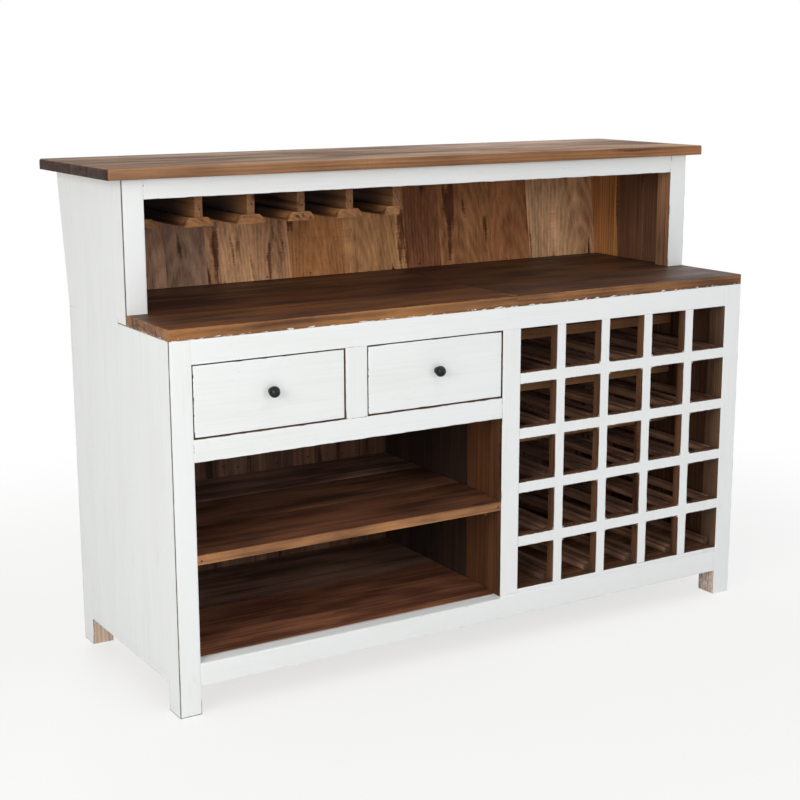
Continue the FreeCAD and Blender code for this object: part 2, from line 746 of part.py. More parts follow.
def drawer(side, opening_left):
    # An inset front with a nailed box behind it; the bottom runs in grooves
    name = side + "_drawer"
    box_left = f"{opening_left} + drawer_box_inset"
    box_right = f"{box_left} + drawer_box_width"
    box_y = ("drawer_front_thickness", "drawer_box_back")
    box_z = ("drawer_box_low", "drawer_box_low + drawer_box_height")
    centre = f"{opening_left} + drawer_opening_width / 2"

    groove = span_block(
        name + "_groove",
        (f"{box_left} + drawer_board_thickness - drawer_groove_depth",
         f"{box_right} - drawer_board_thickness + drawer_groove_depth"),
        ("drawer_front_thickness - drawer_groove_depth", "drawer_box_back"),
        ("drawer_bottom_low", "drawer_bottom_low + drawer_bottom_thickness"))
    keep(groove, name + "_bottom")

    front = span_block(
        name + "_front_blank",
        (f"{opening_left} + drawer_front_gap", f"{opening_left} + drawer_front_gap + drawer_front_width"),
        ("0", "drawer_front_thickness"),
        ("drawer_rail_top + drawer_front_gap", "drawer_rail_top + drawer_front_gap + drawer_front_height"))
    hole = doc.addObject("Part::Cylinder", name + "_knob_hole")
    hole.setExpression("Radius", tied("knob_stud_diameter / 2 + knob_stud_gap"))
    hole.setExpression("Height", tied("drawer_front_thickness + overrun * 2"))
    hole.Placement.Rotation = FreeCAD.Rotation(FreeCAD.Vector(1, 0, 0), -90)
    place(hole, (centre, "0 - overrun", "knob_height"))
    keep(cut(name + "_front_cut", front, [hole, groove]), name + "_front")

    side_spans = {
        "left": (box_left, f"{box_left} + drawer_board_thickness"),
        "right": (f"{box_right} - drawer_board_thickness", box_right),
    }
    sides = []
    for hand, x_span in side_spans.items():
        blank = span_block(f"{name}_{hand}_blank", x_span, box_y, box_z)
        sides.append(cut(f"{name}_{hand}_side", blank, [groove]))
    group(name + "_sides", sides)

    inner_x = (f"{box_left} + drawer_board_thickness", f"{box_right} - drawer_board_thickness")
    back = span_block(
        name + "_back_board", inner_x, ("drawer_box_back - drawer_board_thickness", "drawer_box_back"),
        ("drawer_bottom_low + drawer_bottom_thickness", "drawer_box_low + drawer_box_height"))
    keep(back, name + "_back")
    turned_knob(name + "_knob", centre)


drawer("left", "post_width")
drawer("right", "drawer_stile_right")

doc.recompute()
for thing in doc.Objects:
    if "Invalid" in thing.State or "Error" in thing.State:
        raise RuntimeError(f"{thing.Label} failed: {thing.State}")
for piece in pieces:
    if piece.Shape.isNull() or not piece.Shape.isValid() or not piece.Shape.Solids:
        raise RuntimeError(f"{piece.Label} has no valid solid")

os.makedirs("parts", exist_ok=True)
for piece in pieces:
    piece.Shape.exportStep(f"parts/{piece.Label}.step")
    solids = piece.Shape.Solids
    print(f"{piece.Label}: {len(solids)} solids, {sum(solid.Volume for solid in solids) / 1000:.1f} cm3")
print(f"{len(pieces)} nodes")
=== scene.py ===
import math
import random

import bmesh
import bpy
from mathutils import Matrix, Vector, geometry


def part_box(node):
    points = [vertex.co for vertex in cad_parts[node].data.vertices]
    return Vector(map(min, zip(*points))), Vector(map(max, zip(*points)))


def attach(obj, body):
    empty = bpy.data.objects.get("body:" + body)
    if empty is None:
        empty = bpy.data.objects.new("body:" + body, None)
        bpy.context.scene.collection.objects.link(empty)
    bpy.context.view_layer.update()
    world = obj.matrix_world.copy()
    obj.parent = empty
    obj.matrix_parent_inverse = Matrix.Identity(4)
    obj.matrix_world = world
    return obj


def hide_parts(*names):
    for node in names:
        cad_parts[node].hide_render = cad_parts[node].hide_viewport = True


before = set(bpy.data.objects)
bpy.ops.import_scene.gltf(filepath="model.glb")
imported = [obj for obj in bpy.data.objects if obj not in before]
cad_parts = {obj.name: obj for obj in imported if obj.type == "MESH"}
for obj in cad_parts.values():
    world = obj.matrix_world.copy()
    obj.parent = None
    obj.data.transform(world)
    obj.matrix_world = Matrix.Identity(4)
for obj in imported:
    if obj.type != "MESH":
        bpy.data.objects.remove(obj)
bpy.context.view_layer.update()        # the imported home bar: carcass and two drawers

mm = 0.001
touch = 1e-4                       # points this near to a plane count as on it, in metres
farOff = 30.0                      # past this distance from an arris nothing is worn, in mm
draw = random.Random(11)           # one seeded source of chance for the whole script
sides = {
    "left": Vector((-1, 0, 0)), "right": Vector((1, 0, 0)),
    "front": Vector((0, -1, 0)), "back": Vector((0, 1, 0)),
    "under": Vector((0, 0, -1)), "top": Vector((0, 0, 1)),
}
axisOf = {"X": 0, "Y": 1, "Z": 2}
print("frame loaded,", len(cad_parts), "nodes")


def linearColour(hexText, alpha=1.0):
    channels = [int(hexText[at:at + 2], 16) / 255 for at in (1, 3, 5)]
    linear = [c / 12.92 if c <= 0.04045 else ((c + 0.055) / 1.055) ** 2.4 for c in channels]
    return (*linear, alpha)


def addNode(tree, kind, links, out=0, **settings):
    # adds a shader node and returns one of its outputs; each link is a socket to join or a value to set
    node = tree.nodes.new("ShaderNode" + kind)
    for name, value in settings.items():
        setattr(node, name, value)
    for socket, value in links.items():
        if isinstance(value, bpy.types.NodeSocket):
            tree.links.new(value, node.inputs[socket])
        else:
            node.inputs[socket].default_value = value
    return node.outputs[out]


def startMaterial(name):
    material = bpy.data.materials.new(name)
    material.use_nodes = True
    tree = material.node_tree
    return material, tree, tree.nodes["Principled BSDF"]


def joinShader(tree, shader, colour, gloss, height, bump):
    raised = addNode(tree, "Bump", {"Height": height, **bump})
    for socket, source in (("Base Color", colour), ("Roughness", gloss), ("Normal", raised)):
        tree.links.new(source, shader.inputs[socket])


colourMix = {"out": 2, "data_type": "RGBA"}      # a Mix node's third output is its colour
darken = {**colourMix, "blend_type": "MULTIPLY"}


# Reclaimed teak, planed and oiled or left from the saw: soft streaks, old dark stains, pores, knots,
# rubbed arrises. Real fibre, pores and rings are finer, and drawn as coarse as they need to show.
teakGrain = {      # length along, width across and through the grain in mm, then detail
    "fibre": (900, 3.2, 3.2, 2.0),
    "streak": (1300, 14.0, 14.0, 3.0),
    "cloud": (240, 60.0, 60.0, 4.0),
    "stain": (460, 36.0, 36.0, 3.0),
    "pore": (60, 2.0, 2.0, 1.0),
    "saw": (3.2, 60.0, 60.0, 2.0),
    "smear": (15, 4.0, 4.0, 3.0),
}
teakLook = {
    "drift": (0, 8, 8), "driftSize": (1 / 420, 1 / 110, 1 / 110), "ringSpacing": 9.0,
    "knotSize": (1 / 300, 1 / 110, 1 / 110), "knotPick": 0.6, "ior": 1.5,
    "fibreShare": 0.42, "ringShare": 0.06, "sawShare": 0.09, "reach": 0.2,
    "dark": (0.40, 0.345, 0.31, 1), "middle": (0.95, 0.94, 0.93, 1), "light": (1.5, 1.5, 1.47, 1),
    "stain": (0.3, 0.215, 0.18, 1), "dirt": (0.5, 0.42, 0.38, 1), "rubbed": (1.8, 1.75, 1.6, 1),
    "knot": "#2e1d15", "smear": "#dfe0dd", "bump": {"Strength": 0.35, "Distance": 0.0006},
}


def makeTeak(name, look, objectTone=None):
    # pieces read their own grain, tone and edge; CAD nodes read Object coordinates, grain along Y
    material, tree, shader = startMaterial(name)
    if objectTone:
        place = addNode(tree, "TexCoord", {}, out="Object")
        split = addNode(tree, "SeparateXYZ", {0: place}).node.outputs
        turned = addNode(tree, "CombineXYZ", {0: split[1], 1: split[0], 2: split[2]})
        grain = addNode(tree, "VectorMath", {0: turned, 1: (1 / mm,) * 3}, operation="MULTIPLY")
        tone = linearColour(objectTone)
    else:
        grain = addNode(tree, "Attribute", {}, out="Vector", attribute_name="grain")
        board = addNode(tree, "Attribute", {}, attribute_name="tone").node.outputs
        tone = board["Color"]
    # the grain wanders a little across the board
    drift = addNode(tree, "VectorMath", {0: grain, 1: teakLook["driftSize"]}, operation="MULTIPLY")
    drift = addNode(tree, "TexNoise", {"Vector": drift, "Scale": 1.0, "Detail": 1.0}, out="Color")
    drift = addNode(tree, "VectorMath", {0: drift, 1: (0.5,) * 3}, operation="SUBTRACT")
    bent = addNode(tree, "VectorMath", {0: drift, 1: teakLook["drift"], 2: grain}, operation="MULTIPLY_ADD")
    pattern = {}
    for part, (along, across, through, detail) in teakGrain.items():
        run, wide = (look["run"], look["wide"]) if part in ("fibre", "streak") else (1, 1)
        size = (1 / (along * run), 1 / (across * wide), 1 / (through * wide))
        scaled = addNode(tree, "VectorMath", {0: bent, 1: size}, operation="MULTIPLY")
        pattern[part] = addNode(
            tree, "TexNoise", {"Vector": scaled, "Scale": 1.0, "Detail": detail}, out="Fac")
    ringScale = math.pi / 10 / teakLook["ringSpacing"]
    rings = addNode(
        tree, "TexWave", {"Vector": bent, "Scale": ringScale, "Distortion": 2.0, "Detail Scale": 0.12},
        out="Fac", wave_type="RINGS", rings_direction="X")
    # one figure from streaks, fibre, clouds and growth rings
    figure = pattern["streak"]
    for share, layer in (
            (teakLook["fibreShare"], pattern["fibre"]), (look["clouded"], pattern["cloud"]),
            (teakLook["ringShare"], rings)):
        figure = addNode(tree, "Mix", {0: share, 2: figure, 3: layer})
    reach = teakLook["reach"] / look["contrast"]
    figure = addNode(tree, "MapRange", {"Value": figure, "From Min": 0.5 - reach, "From Max": 0.5 + reach})
    shade = addNode(tree, "ValToRGB", {"Fac": figure})
    shade.node.color_ramp.elements[0].color = teakLook["dark"]
    shade.node.color_ramp.elements[1].color = teakLook["light"]
    shade.node.color_ramp.elements.new(0.5).color = teakLook["middle"]
    # dark stains from the wood's first use, with ragged ends, then pores and fine cracks
    stain = addNode(tree, "Mix", {0: teakLook["sawShare"], 2: pattern["stain"], 3: pattern["saw"]})
    stain = addNode(
        tree, "MapRange", {"Value": stain, "From Min": 0.6, "From Max": 0.65, "To Max": look["stained"]})
    pores = addNode(
        tree, "MapRange",
        {"Value": pattern["pore"], "From Min": 0.6, "From Max": 0.68, "To Max": look["pored"]})
    checks = addNode(
        tree, "MapRange",
        {"Value": pattern["streak"], "From Min": 0.55, "From Max": 0.6, "To Max": look["checked"]})
    pores = addNode(tree, "Math", {0: pores, 1: checks}, operation="MAXIMUM")
    colour = tone
    for share, layer in ((1.0, shade), (stain, teakLook["stain"]), (pores, teakLook["dirt"])):
        colour = addNode(tree, "Mix", {0: share, 6: colour, 7: layer}, **darken)
    # a knot here and there: a dark eye where a cell of the pattern is picked
    cells = addNode(tree, "VectorMath", {0: grain, 1: teakLook["knotSize"]}, operation="MULTIPLY")
    knot = addNode(tree, "TexVoronoi", {"Vector": cells, "Scale": 1.0}, feature="F1").node.outputs
    picked = addNode(tree, "SeparateColor", {0: knot["Color"]})
    picked = addNode(tree, "Math", {0: picked, 1: teakLook["knotPick"]}, operation="GREATER_THAN")
    eye = addNode(
        tree, "MapRange",
        {"Value": knot["Distance"], "From Min": 0.03, "From Max": 0.1, "To Min": 0.85, "To Max": 0.0})
    eye = addNode(tree, "Math", {0: eye, 1: picked}, operation="MULTIPLY")
    colour = addNode(tree, "Mix", {0: eye, 6: colour, 7: linearColour(teakLook["knot"])}, **colourMix)
    height = addNode(tree, "Math", {0: pattern["fibre"], 1: pores}, operation="SUBTRACT")
    if look["sawn"]:      # uneven marks that the saw left across the grain, in patches
        patch = addNode(
            tree, "MapRange",
            {"Value": pattern["cloud"], "From Min": 0.48, "From Max": 0.62, "To Max": look["sawn"]})
        mark = addNode(tree, "MapRange", {"Value": pattern["saw"], "From Min": 0.5, "From Max": 0.66})
        mark = addNode(tree, "Math", {0: mark, 1: patch}, operation="MULTIPLY")
        colour = addNode(tree, "Mix", {0: mark, 6: colour, 7: teakLook["dirt"]}, **darken)
        height = addNode(tree, "Math", {0: height, 1: mark}, operation="SUBTRACT")
    if not objectTone:
        # arrises rubbed pale in patches, and paint smeared on where the board's tone asks for it
        edge = addNode(tree, "Attribute", {}, out="Fac", attribute_name="edge")
        rub = addNode(
            tree, "MapRange", {"Value": edge, "From Min": 0.3, "From Max": 3.0, "To Min": 0.6, "To Max": 0.0})
        rub = addNode(tree, "Math", {0: rub, 1: pattern["smear"]}, operation="MULTIPLY")
        colour = addNode(tree, "Mix", {0: rub, 6: colour, 7: teakLook["rubbed"]}, **darken)
        smear = addNode(tree, "Math", {0: board["Alpha"], 1: -0.5, 2: -0.5}, operation="MULTIPLY_ADD")
        smear = addNode(tree, "Math", {0: smear, 1: pattern["smear"]}, operation="ADD")
        smear = addNode(tree, "MapRange", {"Value": smear, "From Min": 0.47, "From Max": 0.53})
        colour = addNode(tree, "Mix", {0: smear, 6: colour, 7: linearColour(teakLook["smear"])}, **colourMix)
    gloss = addNode(
        tree, "MapRange",
        {"Value": figure, "To Min": look["roughness"] + 0.1, "To Max": look["roughness"] - 0.06})
    shader.inputs["IOR"].default_value = teakLook["ior"]
    shader.inputs["Specular IOR Level"].default_value = look["shine"]
    joinShader(tree, shader, colour, gloss, height, teakLook["bump"])
    return material


# White milk paint, brushed thin over the wood and rubbed through along the arrises.
# The brush marks are drawn coarser than a real brush leaves them.
paintLook = {
    "white": "#eceff0", "thin": "#e0e0dc", "stain": "#b9a48d", "bare": "#54402f", "dark": "#241c18",
    "roughness": 0.5, "ior": 1.48, "rubWidth": 3.6, "brushShare": 0.45,
    "bump": {"Strength": 0.3, "Distance": 0.0005},
}
paintGrain = {      # one over the length along, width across and through the brush strokes in mm
    "brush": (1 / 150, 1 / 5, 1 / 5), "cover": (1 / 420, 1 / 60, 1 / 60), "blot": (1 / 90, 1 / 45, 1 / 45),
    "fleck": (1 / 7, 1 / 3.2, 1 / 3.2), "rub": (1 / 34, 1 / 9, 1 / 9),
}


def makePaint(name):
    material, tree, shader = startMaterial(name)
    tint = {part: linearColour(paintLook[part]) for part in ("white", "thin", "stain", "bare", "dark")}
    grain = addNode(tree, "Attribute", {}, out="Vector", attribute_name="grain")
    wear = addNode(tree, "Attribute", {}, out="Alpha", attribute_name="tone")
    edge = addNode(tree, "Attribute", {}, out="Fac", attribute_name="edge")
    pattern = {}
    for part, size in paintGrain.items():
        scaled = addNode(tree, "VectorMath", {0: grain, 1: size}, operation="MULTIPLY")
        pattern[part] = addNode(tree, "TexNoise", {"Vector": scaled, "Scale": 1.0, "Detail": 3.0}, out="Fac")
    cover = addNode(tree, "Mix", {0: paintLook["brushShare"], 2: pattern["cover"], 3: pattern["brush"]})
    thin = addNode(tree, "MapRange", {"Value": cover, "From Min": 0.48, "From Max": 0.72, "To Max": 0.4})
    colour = addNode(tree, "Mix", {0: thin, 6: tint["white"], 7: tint["thin"]}, **colourMix)
    # the wood's oils bleed through in pale brown blots
    blot = addNode(
        tree, "MapRange", {"Value": pattern["blot"], "From Min": 0.68, "From Max": 0.86, "To Max": 0.24})
    colour = addNode(tree, "Mix", {0: blot, 6: colour, 7: tint["stain"]}, **colourMix)
    # flecks where the brush missed or a knock took the paint off
    fleck = addNode(
        tree, "MapRange", {"Value": pattern["fleck"], "From Min": 0.745, "From Max": 0.79, "To Max": 0.7})
    # worn arrises: nearness to the edge against a ragged pattern, more where the piece is more worn
    near = addNode(
        tree, "MapRange",
        {"Value": edge, "From Min": 0.2, "From Max": paintLook["rubWidth"], "To Min": 1.0, "To Max": 0.0})
    reach = addNode(tree, "Math", {0: wear, 1: 0.52, 2: -0.12}, operation="MULTIPLY_ADD")
    ragged = addNode(tree, "Math", {0: pattern["rub"], 1: reach}, operation="ADD")
    ragged = addNode(tree, "Math", {0: ragged, 1: near}, operation="MULTIPLY")
    worn = addNode(tree, "MapRange", {"Value": ragged, "From Min": 0.5, "From Max": 0.62, "To Max": 0.92})
    gone = addNode(tree, "Math", {0: worn, 1: fleck}, operation="MAXIMUM")
    under = addNode(tree, "Mix", {0: pattern["brush"], 6: tint["dark"], 7: tint["bare"]}, **colourMix)
    colour = addNode(tree, "Mix", {0: gone, 6: colour, 7: under}, **colourMix)
    smooth, rough = paintLook["roughness"] - 0.06, paintLook["roughness"] + 0.1
    gloss = addNode(
        tree, "MapRange",
        {"Value": pattern["brush"], "From Min": 0.3, "From Max": 0.7, "To Min": smooth, "To Max": rough})
    shader.inputs["IOR"].default_value = paintLook["ior"]
    height = addNode(tree, "Math", {0: pattern["brush"], 1: gone}, operation="SUBTRACT")
    joinShader(tree, shader, colour, gloss, height, paintLook["bump"])
    return material


# Cast iron, blackened and waxed: nearly black, with a soft uneven shine.
# The grit is drawn coarser than on a real casting.
ironLook = {
    "base": "#1f1e20", "rubbed": "#4c4746", "grit": 1 / 0.003, "blotch": 1 / 0.009, "metallic": 0.75,
    "bump": {"Strength": 0.2, "Distance": 0.0003},
}


def makeIron(name):
    material, tree, shader = startMaterial(name)
    place = addNode(tree, "TexCoord", {}, out="Object")
    blotch, grit = [
        addNode(tree, "TexNoise", {"Vector": place, "Scale": ironLook[part], "Detail": 2.0}, out="Fac")
        for part in ("blotch", "grit")
    ]
    rubbed = addNode(tree, "MapRange", {"Value": blotch, "From Min": 0.5, "From Max": 0.8, "To Max": 0.7})
    colour = addNode(
        tree, "Mix", {0: rubbed, 6: linearColour(ironLook["base"]), 7: linearColour(ironLook["rubbed"])},
        **colourMix)
    gloss = addNode(
        tree, "MapRange", {"Value": blotch, "From Min": 0.3, "From Max": 0.7, "To Min": 0.3, "To Max": 0.48})
    shader.inputs["Metallic"].default_value = ironLook["metallic"]
    joinShader(tree, shader, colour, gloss, grit, ironLook["bump"])
    return material


# planed and oiled has a soft sheen, sawn is dull and marked across,
# the worn counter has strong streaks and checks
oiled = {
    "run": 0.35, "wide": 1.3, "roughness": 0.5, "shine": 0.3, "contrast": 1.8, "clouded": 0.72,
    "stained": 0.6, "pored": 0.6, "checked": 0.0, "sawn": 0.0,
}
sawn = {
    "run": 0.8, "wide": 1.0, "roughness": 0.68, "shine": 0.3, "contrast": 1.3, "clouded": 0.42,
    "stained": 1.0, "pored": 0.35, "checked": 0.0, "sawn": 0.25,
}
weathered = {
    "run": 0.3, "wide": 2.2, "roughness": 0.6, "shine": 0.18, "contrast": 2.4, "clouded": 0.4,
    "stained": 0.8, "pored": 0.9, "checked": 0.55, "sawn": 0.0,
}
oiledTeak = makeTeak("oiledTeak", oiled)
sawnTeak = makeTeak("sawnTeak", sawn)
weatheredTeak = makeTeak("weatheredTeak", weathered)
hiddenTeak = makeTeak("hiddenTeak", oiled, "#7d573c")
milkPaint = makePaint("milkPaint")
blackIron = makeIron("blackIron")
print("materials made")


def nodeBox(node, trim=()):
    # a CAD node's corners, cut back by its tenons along one axis
    low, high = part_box(node)
    if trim:
        axis, length = trim
        low[axisOf[axis]] += length * mm
        high[axisOf[axis]] -= length * mm
    return low, high


def neighbours(values):
    # each value with the next one, for boards that lie side by side
    return list(zip(values, values[1:]))


def openMesh():
    # puts a new primitive's place into its mesh and opens it in edit mode
    block = bpy.context.object
    bpy.ops.object.transform_apply(location=True, rotation=True, scale=True)
    bpy.ops.object.mode_set(mode="EDIT")
    return block


def startBlock(low, high):
    # a cube at a board's size and place, left in edit mode
    low, high = Vector(low), Vector(high)
    bpy.ops.mesh.primitive_cube_add(size=1, location=(low + high) / 2, scale=high - low)
    return openMesh()


def clearPicks(block, kind):
    # nothing selected, in the mode for points, edges or faces
    bpy.ops.mesh.select_mode(type=kind)
    bpy.ops.mesh.select_all(action="DESELECT")
    mesh = bmesh.from_edit_mesh(block.data)
    mesh.normal_update()
    return mesh


def pickFaces(block, test):
    mesh = clearPicks(block, "FACE")
    chosen = [face for face in mesh.faces if test(face.calc_center_median(), face.normal)]
    for face in chosen:
        face.select_set(True)
    bmesh.update_edit_mesh(block.data)
    return len(chosen)


def pickEdges(block, test):
    mesh = clearPicks(block, "EDGE")
    chosen = [edge for edge in mesh.edges if test(edge)]
    for edge in chosen:
        edge.select_set(True)
    bmesh.update_edit_mesh(block.data)
    return [tuple(vertex.co.copy() for vertex in edge.verts) for edge in chosen]


def pickPoints(block, test):
    mesh = clearPicks(block, "VERT")
    for vertex in mesh.verts:
        vertex.select_set(test(vertex.co))
    bmesh.update_edit_mesh(block.data)


def sharpEdge(edge):
    return len(edge.link_faces) == 2 and edge.calc_face_angle() > 0.5      # radians


def edgeRun(edge):
    return edge.verts[1].co - edge.verts[0].co


def sliceAt(point, normal):
    bpy.ops.mesh.select_all(action="SELECT")
    bpy.ops.mesh.bisect(plane_co=point, plane_no=normal)


def growEnd(block, side, fromY, toY, reach):
    # pushes out the part of an end that lies between two depths
    end = sides[side]
    for depth in (fromY, toY):
        sliceAt((0, depth, 0), (0, 1, 0))
    pickFaces(block, lambda middle, normal: normal.dot(end) > 0.9 and fromY < middle.y < toY)
    bpy.ops.mesh.extrude_region_move(TRANSFORM_OT_translate={"value": end * reach})


def divideLength(block, cuts):
    # rungs across the long faces, so that the arrises can waver
    pickEdges(block, lambda edge: abs(edgeRun(edge).x) > 0.2)
    bpy.ops.mesh.subdivide(number_cuts=cuts)


def waver(block, test, amount):
    pickPoints(block, test)
    bpy.ops.transform.vertex_random(offset=amount * mm, uniform=0, normal=0, seed=draw.randrange(1000))


def edgeDistance(point, start, end):
    # in mm, and no more than farOff
    foot, share = geometry.intersect_point_line(point, start, end)
    foot = start if share < 0 else end if share > 1 else foot
    return min((point - foot).length / mm, farOff)


def writeTone(mesh, tone, wear):
    tones = [tone(vertex.co) if callable(tone) else (tone, wear) for vertex in mesh.vertices]
    values = [channel for hexText, alpha in tones for channel in linearColour(hexText, alpha)]
    mesh.attributes["tone"].data.foreach_set("color", values)


def writeSurface(mesh, grain, near, tone, wear):
    # what the materials read from the points: place in the grain, mm to an arris, tone with wear
    mesh.attributes.new("grain", "FLOAT_VECTOR", "POINT").data.foreach_set("vector", grain)
    mesh.attributes.new("edge", "FLOAT", "POINT").data.foreach_set("value", near)
    mesh.attributes.new("tone", "FLOAT_COLOR", "POINT")
    writeTone(mesh, tone, wear)


def coat(piece, bare=sawnTeak, covered=(), finish=milkPaint):
    # a second finish on the named sides, bare wood elsewhere
    piece.data.materials.clear()
    piece.data.materials.append(bare)
    if not covered:
        return piece
    piece.data.materials.append(finish)
    for face in piece.data.polygons:
        if any(face.normal.dot(sides[name]) > 0.3 for name in covered):
            face.material_index = 1
    return piece


def finishBoard(block, along, tone, wear=0, arris=1.5, ring=5, buried=(), facing=0.95, **finish):
    # eases the arrises, rings each face, writes what the materials read and puts the finish on
    corners = [vertex.co.copy() for vertex in bmesh.from_edit_mesh(block.data).verts]
    most = [max(corner[i] for corner in corners) for i in range(3)]
    least = [min(corner[i] for corner in corners) for i in range(3)]
    size = [most[i] - least[i] for i in range(3)]
    middle = [most[i] / 2 + least[i] / 2 for i in range(3)]
    limits = {name: max(corner.dot(sides[name]) for corner in corners) for name in buried}
    edges = pickEdges(block, lambda edge: sharpEdge(edge) and edge.is_convex)
    worn = []
    for start, end in edges:      # the arrises of buried sides don't wear
        depths = [min(start.dot(sides[name]), end.dot(sides[name])) - limit for name, limit in limits.items()]
        if not any(depth > -1e-5 for depth in depths):
            worn.append((start, end))
    bpy.ops.mesh.bevel(offset=arris * mm, segments=2, affect="EDGES")
    width = min(ring * mm, min(size) * 0.28)      # narrower on thin boards
    for side in sides.values():
        if pickFaces(block, lambda centre, normal: normal.dot(side) > facing):
            bpy.ops.mesh.inset(thickness=width)
    bpy.ops.object.mode_set(mode="OBJECT")
    first = axisOf[along]
    across, through = sorted((axis for axis in range(3) if axis != first), key=lambda axis: -size[axis])
    shift = (draw.uniform(0, 6000), draw.uniform(-70, 70), draw.uniform(25, 130))
    mesh = block.data
    grain = []
    near = []
    for vertex in mesh.vertices:
        offset = [(vertex.co[axis] - middle[axis]) / mm for axis in (first, across, through)]
        grain += [offset[i] + shift[i] for i in range(3)]
        near.append(min([edgeDistance(vertex.co, start, end) for start, end in worn], default=farOff))
    writeSurface(mesh, grain, near, tone, wear)
    return coat(block, **finish)


def duplicateOf(thing):
    bpy.ops.object.select_all(action="DESELECT")
    thing.select_set(True)
    bpy.context.view_layer.objects.active = thing
    bpy.ops.object.duplicate()
    return bpy.context.object


def copyBoard(board, shift, tone=None):
    # a copy with its own mesh, grain and tone
    copy = duplicateOf(board)
    bpy.ops.transform.translate(value=shift)
    bpy.ops.object.transform_apply(location=True, rotation=False, scale=False)
    moved = (draw.uniform(0, 6000), draw.uniform(-40, 40), draw.uniform(-10, 60))
    for item in copy.data.attributes["grain"].data:
        item.vector = [item.vector[i] + moved[i] for i in range(3)]
    if tone:
        writeTone(copy.data, tone, 0)
    return copy


def fitPiece(boards, nodes, name=None, body="carcass"):
    # joins the boards of a piece, shades them and puts them in the place of their CAD nodes;
    # a piece with no name of its own is called after its node
    bpy.ops.object.select_all(action="DESELECT")
    for board in boards:
        board.select_set(True)
    piece = boards[0]
    bpy.context.view_layer.objects.active = piece
    if len(boards) > 1:
        bpy.ops.object.join()
    bpy.ops.object.shade_smooth_by_angle(angle=math.radians(40))
    if not name:
        first, *others = nodes[0].split("_")
        name = first + "".join(word.title() for word in others)
    piece.name = name
    piece.data.name = name
    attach(piece, body)
    if nodes:
        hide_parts(*nodes)


# Painted posts, rails and stiles: each from its CAD box, tenons left off
frameLook = {
    "tenon": 24, "tone": "#a07c5c", "arris": 0.7, "slopeEnd": 3, "whitewash": -0.9, "whitewashTop": 20}
frameBoards = {
    "front_left_post": {
        "along": "Z", "painted": ("front", "left"), "wear": 1.3, "tone": "#e8d0b8",
        "buried": ("right", "back")},
    "front_right_post": {
        "along": "Z", "painted": ("front", "right"), "wear": 0.4, "tone": "#705642", "leg": "#d6c4b3",
        "buried": ("left", "back")},
    "back_left_post": {
        "along": "Z", "painted": ("back", "left"), "wear": 0.9, "tone": "#dcc7b3",
        "buried": ("right", "front")},
    "back_right_post": {"along": "Z", "painted": ("back", "right"), "wear": 0.5, "tone": "#e8d0b8"},
    "front_bottom_rail": {
        "along": "X", "painted": ("front", "top"), "tenoned": True, "wear": 0.1, "slope": 5,
        "buried": ("top",)},
    "front_top_rail": {
        "along": "X", "painted": ("front",), "tenoned": True, "wear": 0.15, "buried": ("top",)},
    "drawer_rail": {"along": "X", "painted": ("front",), "tenoned": True, "wear": 0.45},
    "bay_stile": {
        "along": "Z", "painted": ("front",), "tenoned": True, "wear": 0.2, "tone": "#59381f",
        "buried": ("right",)},
    "drawer_stile": {"along": "Z", "painted": ("front",), "tenoned": True, "wear": 0.4},
    "upper_left_stile": {
        "along": "Z", "painted": ("front", "left"), "wear": 1.9, "tone": "#8c6749",
        "buried": ("back", "right")},
    "upper_right_stile": {
        "along": "Z", "painted": ("front", "right"), "wear": 0.35, "tone": "#9a7154",
        "buried": ("back",)},
    "upper_front_rail": {"along": "X", "painted": ("front",), "tenoned": True, "wear": 0.4},
}
endsOf = {"X": ("left", "right"), "Z": ("under", "top")}
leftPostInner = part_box("front_left_post")[1].x
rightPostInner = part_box("front_right_post")[0].x
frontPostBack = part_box("front_left_post")[1].y
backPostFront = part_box("back_left_post")[0].y
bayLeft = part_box("bay_stile")[0].x
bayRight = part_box("bay_stile")[1].x
railLow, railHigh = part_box("front_bottom_rail")
whitewashTop = railLow.z + frameLook["whitewashTop"] * mm
for node, look in frameBoards.items():
    tenoned = "tenoned" in look
    low, high = nodeBox(node, (look["along"], frameLook["tenon"]) if tenoned else ())
    block = startBlock(low, high)
    if "slope" in look:      # the front of the top is worn down along the shelf bay
        for cut in (bayLeft, bayLeft + frameLook["slopeEnd"] * mm):
            sliceAt((cut, 0, 0), (1, 0, 0))
        pickPoints(
            block, lambda co: co.x < bayLeft + touch and co.y < low.y + touch and co.z > high.z - touch)
        bpy.ops.transform.translate(value=(0, 0, -look["slope"] * mm))
    if "leg" in look:      # the leg is whitewashed, fading out up to the bottom rail's top
        for height in (whitewashTop, railHigh.z):
            sliceAt((0, 0, height), (0, 0, 1))

    def boardTone(co):
        if "leg" in look and co.z < whitewashTop + touch:
            return look["leg"], frameLook["whitewash"]
        return look.get("tone", frameLook["tone"]), look["wear"]

    buried = (endsOf[look["along"]] if tenoned else ("top",)) + look.get("buried", ())
    board = finishBoard(
        block, look["along"], boardTone, arris=frameLook["arris"], buried=buried, covered=look["painted"])
    fitPiece([board], [node])
print("frame boards made")


